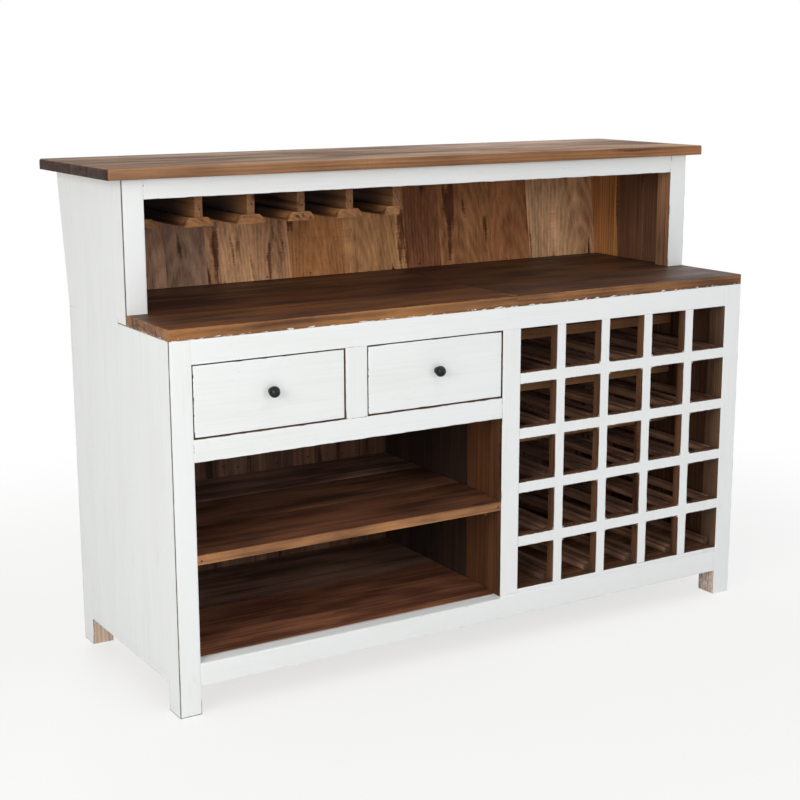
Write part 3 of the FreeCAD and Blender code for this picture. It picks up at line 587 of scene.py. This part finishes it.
# Side boards: upright boards behind the front posts, the last one widening above the worktop
sideBoards = {
    "frontShares": (0, 0.46, 1), "rearShares": (0, 0.36, 0.78, 1), "postDepth": 55, "flare": 45,
    "tones": ("#664632", "#6b4934", "#c0854f"), "wear": 0.25, "sheltered": -0.35, "shelter": 30,
    "arris": 0.4, "ring": 6, "buried": ("front", "back", "top"),
}
sideFinish = {part: sideBoards[part] for part in ("arris", "ring", "buried")}
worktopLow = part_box("worktop_left")[0].z
for hand in ("left", "right"):
    low, high = nodeBox(f"{hand}_side_front_boards")
    span = high.y - low.y
    boards = []
    for start, end in neighbours(sideBoards["frontShares"]):
        block = startBlock((low.x, low.y + span * start, low.z), (high.x, low.y + span * end, high.z))
        boards.append(finishBoard(
            block, "Z", sideBoards["tones"][0], sideBoards["wear"], covered=(hand,), **sideFinish))
    fitPiece(boards, [f"{hand}_side_front_boards"])

    low, high = nodeBox(f"{hand}_side_rear_panel")
    span = backPostFront - low.y      # the panel stops at the back post up to the worktop
    boards = []
    for (start, end), tone in zip(neighbours(sideBoards["rearShares"]), sideBoards["tones"]):
        block = startBlock((low.x, low.y + span * start, low.z), (high.x, low.y + span * end, high.z))
        if end == 1:      # the last board grows over the back post and leans out to the top
            sliceAt((0, 0, worktopLow), (0, 0, 1))
            pickFaces(block, lambda middle, normal: normal.y > 0.9 and middle.z > worktopLow)
            bpy.ops.mesh.extrude_region_move(
                TRANSFORM_OT_translate={"value": (0, sideBoards["postDepth"] * mm, 0)})
            pickPoints(block, lambda co: co.z > high.z - touch and co.y > backPostFront + mm)
            bpy.ops.transform.translate(value=(0, sideBoards["flare"] * mm, 0))

        def boardTone(co):
            # no wear where the board meets the post's top
            shelter = sideBoards["shelter"] * mm
            sheltered = abs(co.z - worktopLow) < shelter and co.y > backPostFront - shelter
            return tone, sideBoards["sheltered" if sheltered else "wear"]

        boards.append(finishBoard(block, "Z", boardTone, covered=(hand, "back"), **sideFinish))
    fitPiece(boards, [f"{hand}_side_rear_panel"], hand + "SideRearBoards")
print("side boards made")


# Back boards: reclaimed boards of many colours, painted on the outside; the upper ones lean out
backBoards = {
    "lower_back_boards": {
        "uneven": 1.2, "lean": 0,
        "shares": (0, 0.07, 0.14, 0.2, 0.3, 0.355, 0.425, 0.495, 0.56, 0.64, 0.72, 0.79, 0.86, 0.93, 1),
        "tones": ("#624434", "#735342", "#664838", "#795a48", "#674839", "#7a5843", "#71503d"),
    },
    "upper_back_boards": {
        "uneven": 1.4, "lean": 45,
        "shares": (0, 0.073, 0.144, 0.214, 0.296, 0.363, 0.468, 0.589, 0.659, 0.768, 0.85, 1),
        "tones": (
            "#af8466", "#bf9477", "#b48e75", "#f4bb8b", "#dba57b", "#c18350", "#ca9463", "#905a3a", "#b0784d",
            "#ac7248", "#d8aa81"),
    },
}
for node, look in backBoards.items():
    low, high = nodeBox(node)
    span = high.x - low.x
    lean = look["lean"] * mm
    boards = []
    for index, (start, end) in enumerate(neighbours(look["shares"])):
        front = low.y + draw.uniform(0, look["uneven"]) * mm
        block = startBlock((low.x + span * start, front, low.z), (low.x + span * end, high.y - lean, high.z))
        if lean:
            pickFaces(block, lambda middle, normal: normal.z > 0.9)
            bpy.ops.transform.translate(value=(0, lean, 0))
        tone = look["tones"][index % len(look["tones"])]
        boards.append(finishBoard(
            block, "Z", tone, wear=0.3, arris=1.2, buried=("under", "top"), covered=("back",)))
    fitPiece(boards, [node])
print("back boards made")


# Partition between the shelf bay and the bottles
# the rear boards are much darker than the front one: painted shade deep in the bay
partition = {"shares": (0, 0.22, 0.465, 0.77, 1), "tones": ("#5f3b22", "#37271f", "#2f221c", "#392a23")}
low, high = nodeBox("partition_panel")
span = high.y - low.y
boards = []
for (start, end), tone in zip(neighbours(partition["shares"]), partition["tones"]):
    block = startBlock((low.x, low.y + span * start, low.z), (high.x, low.y + span * end, high.z))
    boards.append(finishBoard(block, "Z", tone, arris=1.0, buried=("under", "top")))
fitPiece(boards, ["partition_panel"], "partitionBoards")
print("partition made")


# Floors and shelf: lengthwise boards, let in round the posts
floorLook = {
    # the shelf's back plank is paler and greyer than its front, the left floor's back plank greyer: painted
    # light lifting the shade at the back
    "bottom_panel_left": {"name": "floorLeft", "shares": (0, 0.52, 1), "tones": ("#8e5e46", "#886a5b")},
    "bottom_panel_right": {"name": "floorRight", "shares": (0, 0.5, 1), "tones": ("#6f4c36", "#684733")},
    "shelf": {
        "name": "shelfBoards", "shares": (0, 0.36, 0.68, 1), "tones": ("#6f4834", "#7b5642", "#9a7a6d"),
        "edge": "#906440"},
}
for node, look in floorLook.items():
    low, high = nodeBox(node)
    span = high.y - low.y
    # the run of the front and back boards between the posts
    frontRun = backRun = (leftPostInner, high.x)
    if node == "bottom_panel_right":
        frontRun, backRun = (bayRight, rightPostInner), (low.x, rightPostInner)
    elif node == "shelf":
        frontRun = (leftPostInner, bayLeft)
    boards = []
    for (start, end), plank in zip(neighbours(look["shares"]), look["tones"]):
        fromY, toY = low.y + span * start, low.y + span * end
        run = frontRun if start == 0 else backRun if end == 1 else (low.x, high.x)
        block = startBlock((run[0], fromY, low.z), (run[1], toY, high.z))
        clear = (frontPostBack, toY) if start == 0 else (fromY, backPostFront)
        for side, reach in (("left", run[0] - low.x), ("right", high.x - run[1])):
            if reach > touch:
                growEnd(block, side, *clear, reach)

        def plankTone(co):
            # the shelf's front edge is paler
            pale = "edge" in look and co.y < low.y + 2 * mm
            return look["edge"] if pale else plank, 0

        buried = ("left", "right", "back") if start == 0 else ("left", "right")
        boards.append(finishBoard(block, "X", plankTone, arris=1.4, buried=buried, bare=oiledTeak))
    fitPiece(boards, [node], look["name"])
print("floors and shelf made")


# Worktop: planks either side of a butt joint, let in round the upper part, the front arris knocked and ragged
worktop = {
    "planks": (0, 0.33, 0.66, 1),
    "tones": {"left": ("#59371f", "#452615", "#553726"), "right": ("#472d1e", "#482d1c", "#4c3122")},
    "slope": 3.45, "cuts": 90, "ragged": 1.0, "edge": "#835832", "edgeDepth": 2.2,
    "smears": ((2, -0.88), (9, -0.45)),      # up to this height above the underside, and how much paint
}
stileFront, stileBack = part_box("upper_left_stile")[0].y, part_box("upper_left_stile")[1].y
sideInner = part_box("left_side_rear_panel")[1].x
for hand in ("left", "right"):
    low, high = nodeBox(f"worktop_{hand}")
    deep = high.y - worktop["slope"] * mm
    outerEnd, innerEnd, stileEnd = low.x, high.x, leftPostInner
    if hand == "right":
        outerEnd, innerEnd, stileEnd = high.x, low.x, -leftPostInner
    stileReach = abs(outerEnd) - abs(stileEnd)
    panelReach = abs(sideInner) - abs(stileEnd)
    boards = []
    for (start, end), plank in zip(neighbours(worktop["planks"]), worktop["tones"][hand]):
        fromY, toY = low.y + (deep - low.y) * start, low.y + (deep - low.y) * end
        block = startBlock((min(innerEnd, stileEnd), fromY, low.z), (max(innerEnd, stileEnd), toY, high.z))
        divideLength(block, worktop["cuts"])
        if end == 1:
            pickPoints(block, lambda co: co.y > toY - touch and co.z > high.z - touch)
            bpy.ops.transform.translate(value=(0, worktop["slope"] * mm, 0))
        if fromY < stileFront:
            growEnd(block, hand, fromY, min(toY, stileFront), stileReach)
        if toY > stileBack:
            growEnd(block, hand, max(fromY, stileBack), toY, panelReach)
        if start == 0:
            waver(block, lambda co: co.y < fromY + touch, worktop["ragged"])

        def plankTone(co):
            # the outer edges are paler than the plank, with paint from the rail below on their lower arris
            edge = worktop["edgeDepth"] * mm
            atFront = start == 0 and co.y <= fromY + edge
            if not atFront and abs(co.x) <= abs(outerEnd) - edge:
                return plank, 0
            for height, paint in worktop["smears"]:
                if co.z < low.z + height * mm:
                    return worktop["edge"], paint
            return worktop["edge"], 0

        buried = ("back",) if start == 0 else ("left", "right", "front")
        boards.append(finishBoard(block, "X", plankTone, arris=1.6, buried=buried, bare=oiledTeak))
    fitPiece(boards, [f"worktop_{hand}"])
print("worktop made")


# Counter top: four long boards, paler to the right as painted sheen, with rounded outer corners and ends
counter = {
    "shares": (0, 0.27, 0.52, 0.76, 1), "corner": 6, "arris": 1.8, "edgeDepth": 2.2,
    "edge": ("#977050", "#8d5f3a"), "end": "#341d10",
    # each plank's pair of tones is its left and right half; the paler right half is painted sheen
    "tones": (
        ("#8c6c50", "#bd9a80"), ("#7e6047", "#b69478"), ("#8c6f57", "#c2a48f"), ("#987b64", "#cdb0a0")),
}
low, high = nodeBox("top_boards")
span = high.y - low.y
boards = []
for (start, end), plank in zip(neighbours(counter["shares"]), counter["tones"]):
    fromY, toY = low.y + span * start, low.y + span * end
    block = startBlock((low.x, fromY, low.z), (high.x, toY, high.z))
    outer = fromY if start == 0 else toY if end == 1 else None

    def rounded(edge):
        # the upright edges of the outer corners and the upper edges of the ends
        first, last = edge.verts[0].co, edge.verts[1].co
        if abs(first.z - last.z) > mm:
            return outer is not None and abs(first.y - outer) < touch
        return abs(first.x - last.x) < touch and first.z > high.z - touch

    pickEdges(block, rounded)
    bpy.ops.mesh.bevel(offset=counter["corner"] * mm, segments=4, affect="EDGES")

    def plankTone(co):
        edge = counter["edgeDepth"] * mm
        if co.x < low.x + edge or co.x > high.x - edge:
            return counter["end"], 0
        # left and right halves take their own tones; the planks' paler right half is painted sheen
        pair = counter["edge"] if co.y < low.y + edge else plank
        return pair[0] if co.x < 0 else pair[1], 0

    boards.append(finishBoard(
        block, "X", plankTone, arris=counter["arris"], ring=6, facing=0.999, bare=weatheredTeak,
        covered=("front", "left", "right"), finish=sawnTeak))
fitPiece(boards, ["top_boards"], "counterTop")
print("counter top made")


# Bottle lattice: one painted grid of lapped bars with softened cell corners, and the sill under it
lattice = {
    "cells": 5, "bar": 26, "depth": 22, "ringWidth": 4, "corner": 8, "arris": 0.9, "cuts": 3, "ragged": 0.9,
    "tone": "#5a3c28", "wear": 0.82, "sillWear": 0.4,
}
gridLow = Vector((bayRight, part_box("lattice_upright_1")[0].y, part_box("lattice_upright_1")[0].z))
gridHigh = Vector((rightPostInner, gridLow.y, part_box("lattice_upright_1")[1].z))
barWide = lattice["bar"] * mm
ringWide = lattice["ringWidth"] * mm
count = lattice["cells"]
cellWide = (gridHigh.x - gridLow.x - barWide * (count - 1)) / count
cellTall = (gridHigh.z - gridLow.z - barWide * (count - 1)) / count


def cellGap(co):
    # how far a point of the grid lies from the nearest cell's outline, in mm
    gaps = []
    for low, size, at in ((gridLow.x, cellWide, co.x), (gridLow.z, cellTall, co.z)):
        place = (at - low) % (size + barWide)
        gaps.append(min(place, size - place) if place < size else -min(place - size, size + barWide - place))
    outside = Vector([max(-gap, 0) for gap in gaps]).length
    return (outside if min(gaps) < 0 else min(gaps)) / mm


def cellCorner(edge):
    # an edge that runs back from the corner of a cell, away from the grid's outline
    co = edge.verts[0].co
    inside = gridLow.x + mm < co.x < gridHigh.x - mm and gridLow.z + mm < co.z < gridHigh.z - mm
    return inside and sharpEdge(edge) and abs(edgeRun(edge).normalized().y) > 0.9


def cellRim(edge):
    # an edge of a cell's outline on the front face, waver and rounding included
    first, last = edge.verts[0].co, edge.verts[1].co
    atFront = max(first.y, last.y) < gridLow.y + touch
    return atFront and sharpEdge(edge) and cellGap((first + last) / 2) < 2.5


bpy.ops.mesh.primitive_grid_add(
    x_subdivisions=count, y_subdivisions=count, size=1, location=(gridLow + gridHigh) / 2,
    rotation=(math.pi / 2, 0, 0))
bpy.ops.transform.resize(value=(gridHigh.x - gridLow.x + barWide, 1, gridHigh.z - gridLow.z + barWide))
grid = openMesh()
bpy.ops.mesh.select_all(action="SELECT")
bpy.ops.mesh.inset(thickness=barWide / 2 - ringWide, use_individual=True)
bpy.ops.mesh.inset(thickness=ringWide, use_individual=True)
bpy.ops.mesh.delete(type="FACE")
for point, side in ((gridLow, "left"), (gridHigh, "right"), (gridLow, "under"), (gridHigh, "top")):
    bpy.ops.mesh.select_all(action="SELECT")
    bpy.ops.mesh.bisect(plane_co=point, plane_no=sides[side], clear_outer=True)
bpy.ops.mesh.select_all(action="SELECT")
bpy.ops.mesh.delete_loose(use_faces=False)
bpy.ops.mesh.select_all(action="SELECT")
bpy.ops.mesh.subdivide(number_cuts=lattice["cuts"])
waver(
    grid, lambda co: cellGap(co) < 0.1 and gridLow.x + touch < co.x < gridHigh.x - touch, lattice["ragged"])
bpy.ops.mesh.select_all(action="SELECT")
bpy.ops.transform.resize(value=(1, 0, 1), center_override=(0, gridLow.y, 0))      # flat again after the waver
bpy.ops.mesh.extrude_region_move(TRANSFORM_OT_translate={"value": (0, lattice["depth"] * mm, 0)})
bpy.ops.mesh.select_all(action="SELECT")
bpy.ops.mesh.normals_make_consistent(inside=False)
pickEdges(grid, cellCorner)
bpy.ops.mesh.bevel(offset=lattice["corner"] * mm, segments=3, affect="EDGES")
pickEdges(grid, cellRim)
bpy.ops.mesh.bevel(offset=lattice["arris"] * mm, segments=2, affect="EDGES")
bpy.ops.object.mode_set(mode="OBJECT")
mesh = grid.data
places = [vertex.co / mm for vertex in mesh.vertices]
grain = [part for place in places for part in (place.z, place.x, place.y + 60)]
near = [cellGap(vertex.co) for vertex in mesh.vertices]
writeSurface(mesh, grain, near, lattice["tone"], lattice["wear"])
coat(grid, covered=("front",))
sill = finishBoard(
    startBlock(*nodeBox("lattice_sill")), "X", lattice["tone"], lattice["sillWear"], arris=0.8, ring=3,
    buried=("left", "right", "under"), covered=("front",))
latticeNodes = [f"lattice_{kind}_{index}" for kind in ("upright", "bar") for index in range(1, count)]
fitPiece([grid, sill], latticeNodes + ["lattice_sill"], "bottleLattice")
print("lattice made")


# Bottle runners: one wide and one narrow runner copied under every cell, and the rails across them
runner = {
    "seat": 6, "reach": 16, "tall": 18, "end": "#4d3a30", "arris": 1.2, "ring": 4,
    "tones": ("#997460", "#a57d63", "#8b6955", "#b1896e", "#7e5f4f"),
}
seat, reach = runner["seat"] * mm, runner["reach"] * mm
for row in range(1, count + 1):
    low, high = nodeBox(f"bottle_runners_{row}")
    source = {}
    for kind, width in (("wide", seat + reach), ("narrow", reach)):
        block = startBlock(low, (low.x + width, high.y, high.z))
        source[kind] = finishBoard(
            block, "Y", runner["tones"][0], arris=runner["arris"], ring=runner["ring"])
    boards = []
    for column in range(count):
        left = (cellWide + barWide) * column
        right = left + cellWide - reach
        spots = (      # the outermost runners reach behind no upright
            ("narrow", left) if column == 0 else ("wide", left - seat),
            ("narrow" if column == count - 1 else "wide", right),
        )
        for kind, shift in spots:
            plank = draw.choice(runner["tones"])

            def plankTone(co):
                # the end towards the lattice is darker
                return runner["end"] if co.y < low.y + 2 * mm else plank, 0

            boards.append(copyBoard(source[kind], (shift, 0, 0), plankTone))
    for board in source.values():
        bpy.data.objects.remove(board)
    fitPiece(boards, [f"bottle_runners_{row}"])

crossRails = {
    "stopFront": 225, "stopLift": 26, "tall": 24, "thick": 22, "tones": ("#9a6f4b", "#8a6040", "#a0764f"),
}
railFinish = {"arris": 1.2, "ring": 4, "buried": ("left", "right")}
low, high = nodeBox("bottle_cross_rails")
rowPitch = cellTall + barWide
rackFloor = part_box("bottom_panel_right")[1].z
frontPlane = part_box("front_left_post")[0].y
thick, tall = crossRails["thick"] * mm, crossRails["tall"] * mm
stopLow = Vector((low.x, frontPlane + crossRails["stopFront"] * mm, rackFloor + crossRails["stopLift"] * mm))
stop = startBlock(stopLow, (high.x, stopLow.y + thick, stopLow.z + tall))
stop = finishBoard(stop, "X", crossRails["tones"][0], **railFinish)
ledgeTop = rackFloor + rowPitch - runner["tall"] * mm
ledge = startBlock((low.x, high.y - thick, ledgeTop - tall), (rightPostInner, high.y, ledgeTop))
ledge = finishBoard(ledge, "X", crossRails["tones"][1], **railFinish)
boards = [stop, ledge]
for row in range(1, count):
    boards.append(copyBoard(stop, (0, 0, rowPitch * row), crossRails["tones"][row % 3]))
    if row < count - 1:
        boards.append(copyBoard(ledge, (0, 0, rowPitch * row), crossRails["tones"][(row + 1) % 3]))
fitPiece(boards, ["bottle_cross_rails"])
print("bottle rails made")


# Glass rails: a web hung from the top over a flange with bevelled free edges; the outer two are one-sided
glassRail = {
    "web": 18, "flange": 67, "flangeTall": 20, "bevel": 12, "pitch": 121.5, "count": 5,
    "arris": 1.4, "ring": 4, "fade": (30, 140), "underside": 4,
    # the last colour is painted shade for the rails behind the front
    "webTone": "#7c5637", "flangeTone": "#8d623e", "inner": "#5c4c46",
}
webWide = glassRail["web"] * mm


def glassBoards(node, webLeft, free):
    low, high = nodeBox(node)
    flangeTop = low.z + glassRail["flangeTall"] * mm
    underside = low.z + glassRail["underside"] * mm
    fade = [low.y + depth * mm for depth in glassRail["fade"]]
    edges = [{"left": low.x, "right": high.x}[side] for side in free]

    def shadedRailTone(outer):
        # painted shade: the rails are darker behind the front, where shade falls between them, except the
        # flange's underside
        return lambda co: (
            glassRail["inner"] if co.y > fade[1] - touch and co.z > underside else outer, 0)

    def freeEdge(edge):
        co = edge.verts[0].co
        atEdge = co.z > flangeTop - touch and any(abs(co.x - place) < touch for place in edges)
        return atEdge and abs(edgeRun(edge).y) > 0.01

    finish = {"arris": glassRail["arris"], "ring": glassRail["ring"]}
    web = startBlock((webLeft, low.y, flangeTop), (webLeft + webWide, high.y, high.z))
    for depth in fade:
        sliceAt((0, depth, 0), (0, 1, 0))
    web = finishBoard(web, "Y", shadedRailTone(glassRail["webTone"]), buried=("top", "under"), **finish)
    flange = startBlock(low, (high.x, high.y, flangeTop))
    for depth in fade:
        sliceAt((0, depth, 0), (0, 1, 0))
    pickEdges(flange, freeEdge)
    bpy.ops.mesh.bevel(offset=glassRail["bevel"] * mm, segments=1, affect="EDGES")
    flange = finishBoard(flange, "Y", shadedRailTone(glassRail["flangeTone"]), **finish)
    return [web, flange]


low, high = nodeBox("glass_rail_1")
firstRail = glassBoards("glass_rail_1", (low.x + high.x) / 2 - webWide / 2, ("left", "right"))
for index in range(1, glassRail["count"] - 1):
    shift = (glassRail["pitch"] * index * mm, 0, 0)
    copies = [copyBoard(board, shift) for board in firstRail]
    fitPiece(copies, [f"glass_rail_{index + 1}"])
fitPiece(firstRail, ["glass_rail_1"])
low, high = nodeBox("glass_rail_5")
fitPiece(glassBoards("glass_rail_5", high.x - webWide, ("left",)), ["glass_rail_5"])
low, high = nodeBox("glass_rail_left")
fitPiece(glassBoards("glass_rail_left", low.x, ("right",)), ["glass_rail_left"])
print("glass rails made")


# Drawers: a painted front, a bare box behind it and a turned iron knob
drawerLook = {
    "rightGap": 1.8, "lowGap": 1.2, "board": 12, "front": "#4a3a30", "box": "#a27a55", "bottom": "#8c684a",
    "wear": 0.35, "knobSteps": 40,
}
knobProfile = (      # radius and distance from the drawer front, in mm
    (0, 0), (7.5, 0), (7.5, 1.3), (6.6, 2.3), (5.0, 2.6), (4.7, 3.6), (5.6, 5.0), (9.2, 7.2), (11.3, 10.4),
    (12.0, 14.0), (11.5, 17.6), (9.8, 21.0), (7.2, 23.8), (3.7, 25.5), (0, 26))
for hand in ("left", "right"):
    body = f"{hand}_drawer"
    low, high = nodeBox(f"{hand}_drawer_front")
    frontPlane = low.y
    low.z += drawerLook["lowGap"] * mm
    high.x -= drawerLook["rightGap"] * mm
    board = finishBoard(
        startBlock(low, high), "X", drawerLook["front"], drawerLook["wear"], arris=1.0, covered=("front",))
    fitPiece([board], [f"{hand}_drawer_front"], body=body)
    low, high = nodeBox(f"{hand}_drawer_sides")
    thick = drawerLook["board"] * mm
    block = startBlock(low, (low.x + thick, high.y, high.z))
    left = finishBoard(block, "Y", drawerLook["box"], arris=1.0, ring=4)
    right = copyBoard(left, (high.x - low.x - thick, 0, 0))
    fitPiece([left, right], [f"{hand}_drawer_sides"], body=body)
    for part, tone in (("back", drawerLook["box"]), ("bottom", drawerLook["bottom"])):
        block = startBlock(*nodeBox(f"{hand}_drawer_{part}"))
        board = finishBoard(block, "X", tone, arris=0.8, ring=4)
        fitPiece([board], [f"{hand}_drawer_{part}"], body=body)

    # knob: a profile spun about its own axis
    low, high = nodeBox(f"{hand}_drawer_knob")
    centre = Vector(((low.x + high.x) / 2, frontPlane, (low.z + high.z) / 2))
    bpy.ops.mesh.primitive_plane_add(size=mm, location=centre)
    knob = openMesh()
    bpy.ops.mesh.select_all(action="SELECT")
    bpy.ops.mesh.merge(type="CENTER")
    bpy.ops.mesh.select_mode(type="VERT")
    bpy.ops.mesh.select_all(action="SELECT")
    for (fromRadius, fromOut), (toRadius, toOut) in neighbours(knobProfile):
        step = ((toRadius - fromRadius) * mm, (fromOut - toOut) * mm, 0)
        bpy.ops.mesh.extrude_region_move(TRANSFORM_OT_translate={"value": step})
    bpy.ops.mesh.select_all(action="SELECT")
    bpy.ops.mesh.spin(steps=drawerLook["knobSteps"], angle=math.tau, center=centre, axis=(0, 1, 0))
    bpy.ops.mesh.select_all(action="SELECT")
    bpy.ops.mesh.remove_doubles(threshold=0.02 * mm)
    bpy.ops.mesh.normals_make_consistent(inside=False)
    bpy.ops.object.mode_set(mode="OBJECT")
    knob.data.materials.append(blackIron)
    fitPiece([knob], [f"{hand}_drawer_knob"], body=body)
print("drawers made")


# Nail heads: one domed head modelled, then copied where the boards are nailed
nail = {
    "radius": 2.0, "proud": 0.5, "rim": 0.8, "dome": 0.25, "lean": math.atan(0.15),
    "upper": ((0.35, 27), (0.6, 232)),      # share of the board's width, height in mm
    "aboveShelf": (16, 190), "aboveFoot": 70, "railSide": 1.5, "railLift": (34, 44), "shelfEnd": 9,
}


def nailHead(place, lean=0):
    copy = duplicateOf(firstNail)
    bpy.ops.transform.rotate(value=-lean, orient_axis="X", center_override=(0, 0, 0))
    bpy.ops.transform.translate(value=place)
    bpy.ops.object.transform_apply(location=True, rotation=True, scale=True)
    return copy


bpy.ops.mesh.primitive_cylinder_add(
    vertices=10, radius=nail["radius"] * mm, depth=2 * nail["proud"] * mm, rotation=(math.pi / 2, 0, 0))
firstNail = openMesh()
pickFaces(firstNail, lambda middle, normal: normal.y < -0.9)
bpy.ops.mesh.inset(thickness=nail["rim"] * mm)
bpy.ops.transform.translate(value=(0, -nail["dome"] * mm, 0))
bpy.ops.object.mode_set(mode="OBJECT")
firstNail.data.materials.append(blackIron)
nails = []
low, high = nodeBox("upper_back_boards")
upper = backBoards["upper_back_boards"]
for start, end in neighbours(upper["shares"]):
    for share, lift in nail["upper"]:
        x = low.x + (high.x - low.x) * (start + (end - start) * share)
        height = (lift + draw.uniform(-5, 5)) * mm
        y = low.y + upper["lean"] * mm * height / (high.z - low.z)
        nails.append(nailHead((x, y, low.z + height), nail["lean"]))
low, high = nodeBox("lower_back_boards")
shelfLow, shelfHigh = nodeBox("shelf")
heights = [shelfHigh.z + lift * mm for lift in nail["aboveShelf"]] + [low.z + nail["aboveFoot"] * mm]
for start, end in neighbours(backBoards["lower_back_boards"]["shares"]):
    for height in heights:
        x = low.x + (high.x - low.x) * (start + (end - start) * draw.uniform(0.3, 0.7))
        nails.append(nailHead((x, low.y, height + draw.uniform(-4, 4) * mm)))
for index in range(glassRail["count"]):
    low, high = nodeBox(f"glass_rail_{index + 1}")
    x = low.x + (glassRail["flange"] / 2 + nail["railSide"]) * mm
    nails.append(nailHead((x, low.y, low.z + draw.uniform(*nail["railLift"]) * mm)))
for x in (leftPostInner + nail["shelfEnd"] * mm, bayLeft - nail["shelfEnd"] * mm):
    height = (shelfLow.z + shelfHigh.z) / 2 + draw.uniform(-2, 2) * mm
    nails.append(nailHead((x, shelfLow.y, height)))
bpy.data.objects.remove(firstNail)
nailCount = len(nails)
fitPiece(nails, [], "nailHeads")
print("nails made,", nailCount)


# CAD nodes that stay: shelf cleats, drawer runners and guides inside, in plain teak
for node in ("shelf_cleats", "drawer_runners", "drawer_guides"):
    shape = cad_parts[node]
    shape.data.materials.clear()
    shape.data.materials.append(hiddenTeak)


# Studio: pale floor, soft lamps, white behind
studio = {
    "floor": "#f2f2f0", "floorSize": 14, "roughness": 0.8, "ambient": 0.34, "white": (1, 1, 1, 1),
    "nearWhite": {"From Min": 0.9, "From Max": 2.2, "To Min": 0.7},      # by metres from the part's middle
}


def seenRays(tree):
    # 1 for the rays that show the background: camera, glossy and transmission
    rays = addNode(tree, "LightPath", {}).node.outputs
    seen = rays["Is Camera Ray"]
    for kind in ("Is Glossy Ray", "Is Transmission Ray"):
        seen = addNode(tree, "Math", {0: seen, 1: rays[kind]}, operation="MAXIMUM")
    return seen


def placeInScene(name, data, place, turn):
    holder = bpy.data.objects.new(name, data)
    bpy.context.scene.collection.objects.link(holder)
    holder.location = place
    holder.rotation_euler = turn
    return holder


bpy.ops.mesh.primitive_plane_add(size=studio["floorSize"], location=(0, 0, 0))
floor = bpy.context.object
floor.name = "studioFloor"
floorPaint, tree, shader = startMaterial("studioFloor")
shader.inputs["Base Color"].default_value = linearColour(studio["floor"])
shader.inputs["Roughness"].default_value = studio["roughness"]
place = addNode(tree, "TexCoord", {}, out="Object")
away = addNode(tree, "VectorMath", {0: place}, out="Value", operation="LENGTH")
share = addNode(tree, "MapRange", {"Value": away, **studio["nearWhite"]}, interpolation_type="SMOOTHSTEP")
seen = addNode(tree, "Math", {0: seenRays(tree), 1: share}, operation="MULTIPLY")
white = addNode(tree, "Emission", {"Color": studio["white"], "Strength": 1.0})
mixed = addNode(tree, "MixShader", {0: seen, 1: shader.outputs[0], 2: white})
tree.links.new(mixed, tree.nodes["Material Output"].inputs["Surface"])
floor.data.materials.append(floorPaint)

world = bpy.data.worlds.new("studio")
bpy.context.scene.world = world
world.use_nodes = True
tree = world.node_tree
back = tree.nodes["Background"]
level = addNode(tree, "MapRange", {"Value": seenRays(tree), "To Min": studio["ambient"], "To Max": 1.0})
tree.links.new(level, back.inputs["Strength"])
back.inputs["Color"].default_value = studio["white"]

lamps = {      # place, aim and size in metres, power in watts, white unless a colour is given
    "keyRight": {
        "place": (1.1, -3.9, 1.9), "aim": (0.1, 0, 0.6), "size": 1.0, "power": 19,
        "colour": (0.98, 0.99, 1.0)},
    "fillLeft": {
        "place": (-3.9, -2.3, 2.0), "aim": (-0.2, 0, 0.6), "size": 2.2, "power": 84,
        "colour": (1.0, 0.97, 0.925)},
    "lensFill": {"place": (-1.7, -3.3, 0.95), "aim": (0, 0, 0.7), "size": 0.7, "power": 13.5},
    "fillRight": {"place": (4.2, -0.4, 1.5), "aim": (0.5, 0, 0.6), "size": 1.8, "power": 34},
    "backFill": {"place": (0.6, 4.0, 0.5), "aim": (0, 0, 0.5), "size": 0.9, "power": 60},
    "overhead": {"place": (-0.2, -0.9, 3.4), "aim": (0, 0, 0.7), "size": 2.6, "power": 20},
}
for name, lamp in lamps.items():
    light = bpy.data.lights.new(name, "AREA")
    light.size = lamp["size"]
    light.energy = lamp["power"]
    light.color = lamp.get("colour", (1, 1, 1))
    direction = Vector(lamp["aim"]) - Vector(lamp["place"])
    placeInScene(name, light, lamp["place"], direction.to_track_quat("-Z", "Y").to_euler())

view = {
    "place": (-1.92741, -3.07536, 1.323675), "turn": (77.6449, 0.1271, -31.5014), "lens": 70.41, "sensor": 36}
camera = bpy.data.cameras.new("photoView")
camera.lens = view["lens"]
camera.sensor_width = view["sensor"]
bpy.context.scene.camera = placeInScene(
    "photoView", camera, view["place"], [math.radians(angle) for angle in view["turn"]])
bpy.context.scene.view_settings.view_transform = "Standard"
print("studio set")
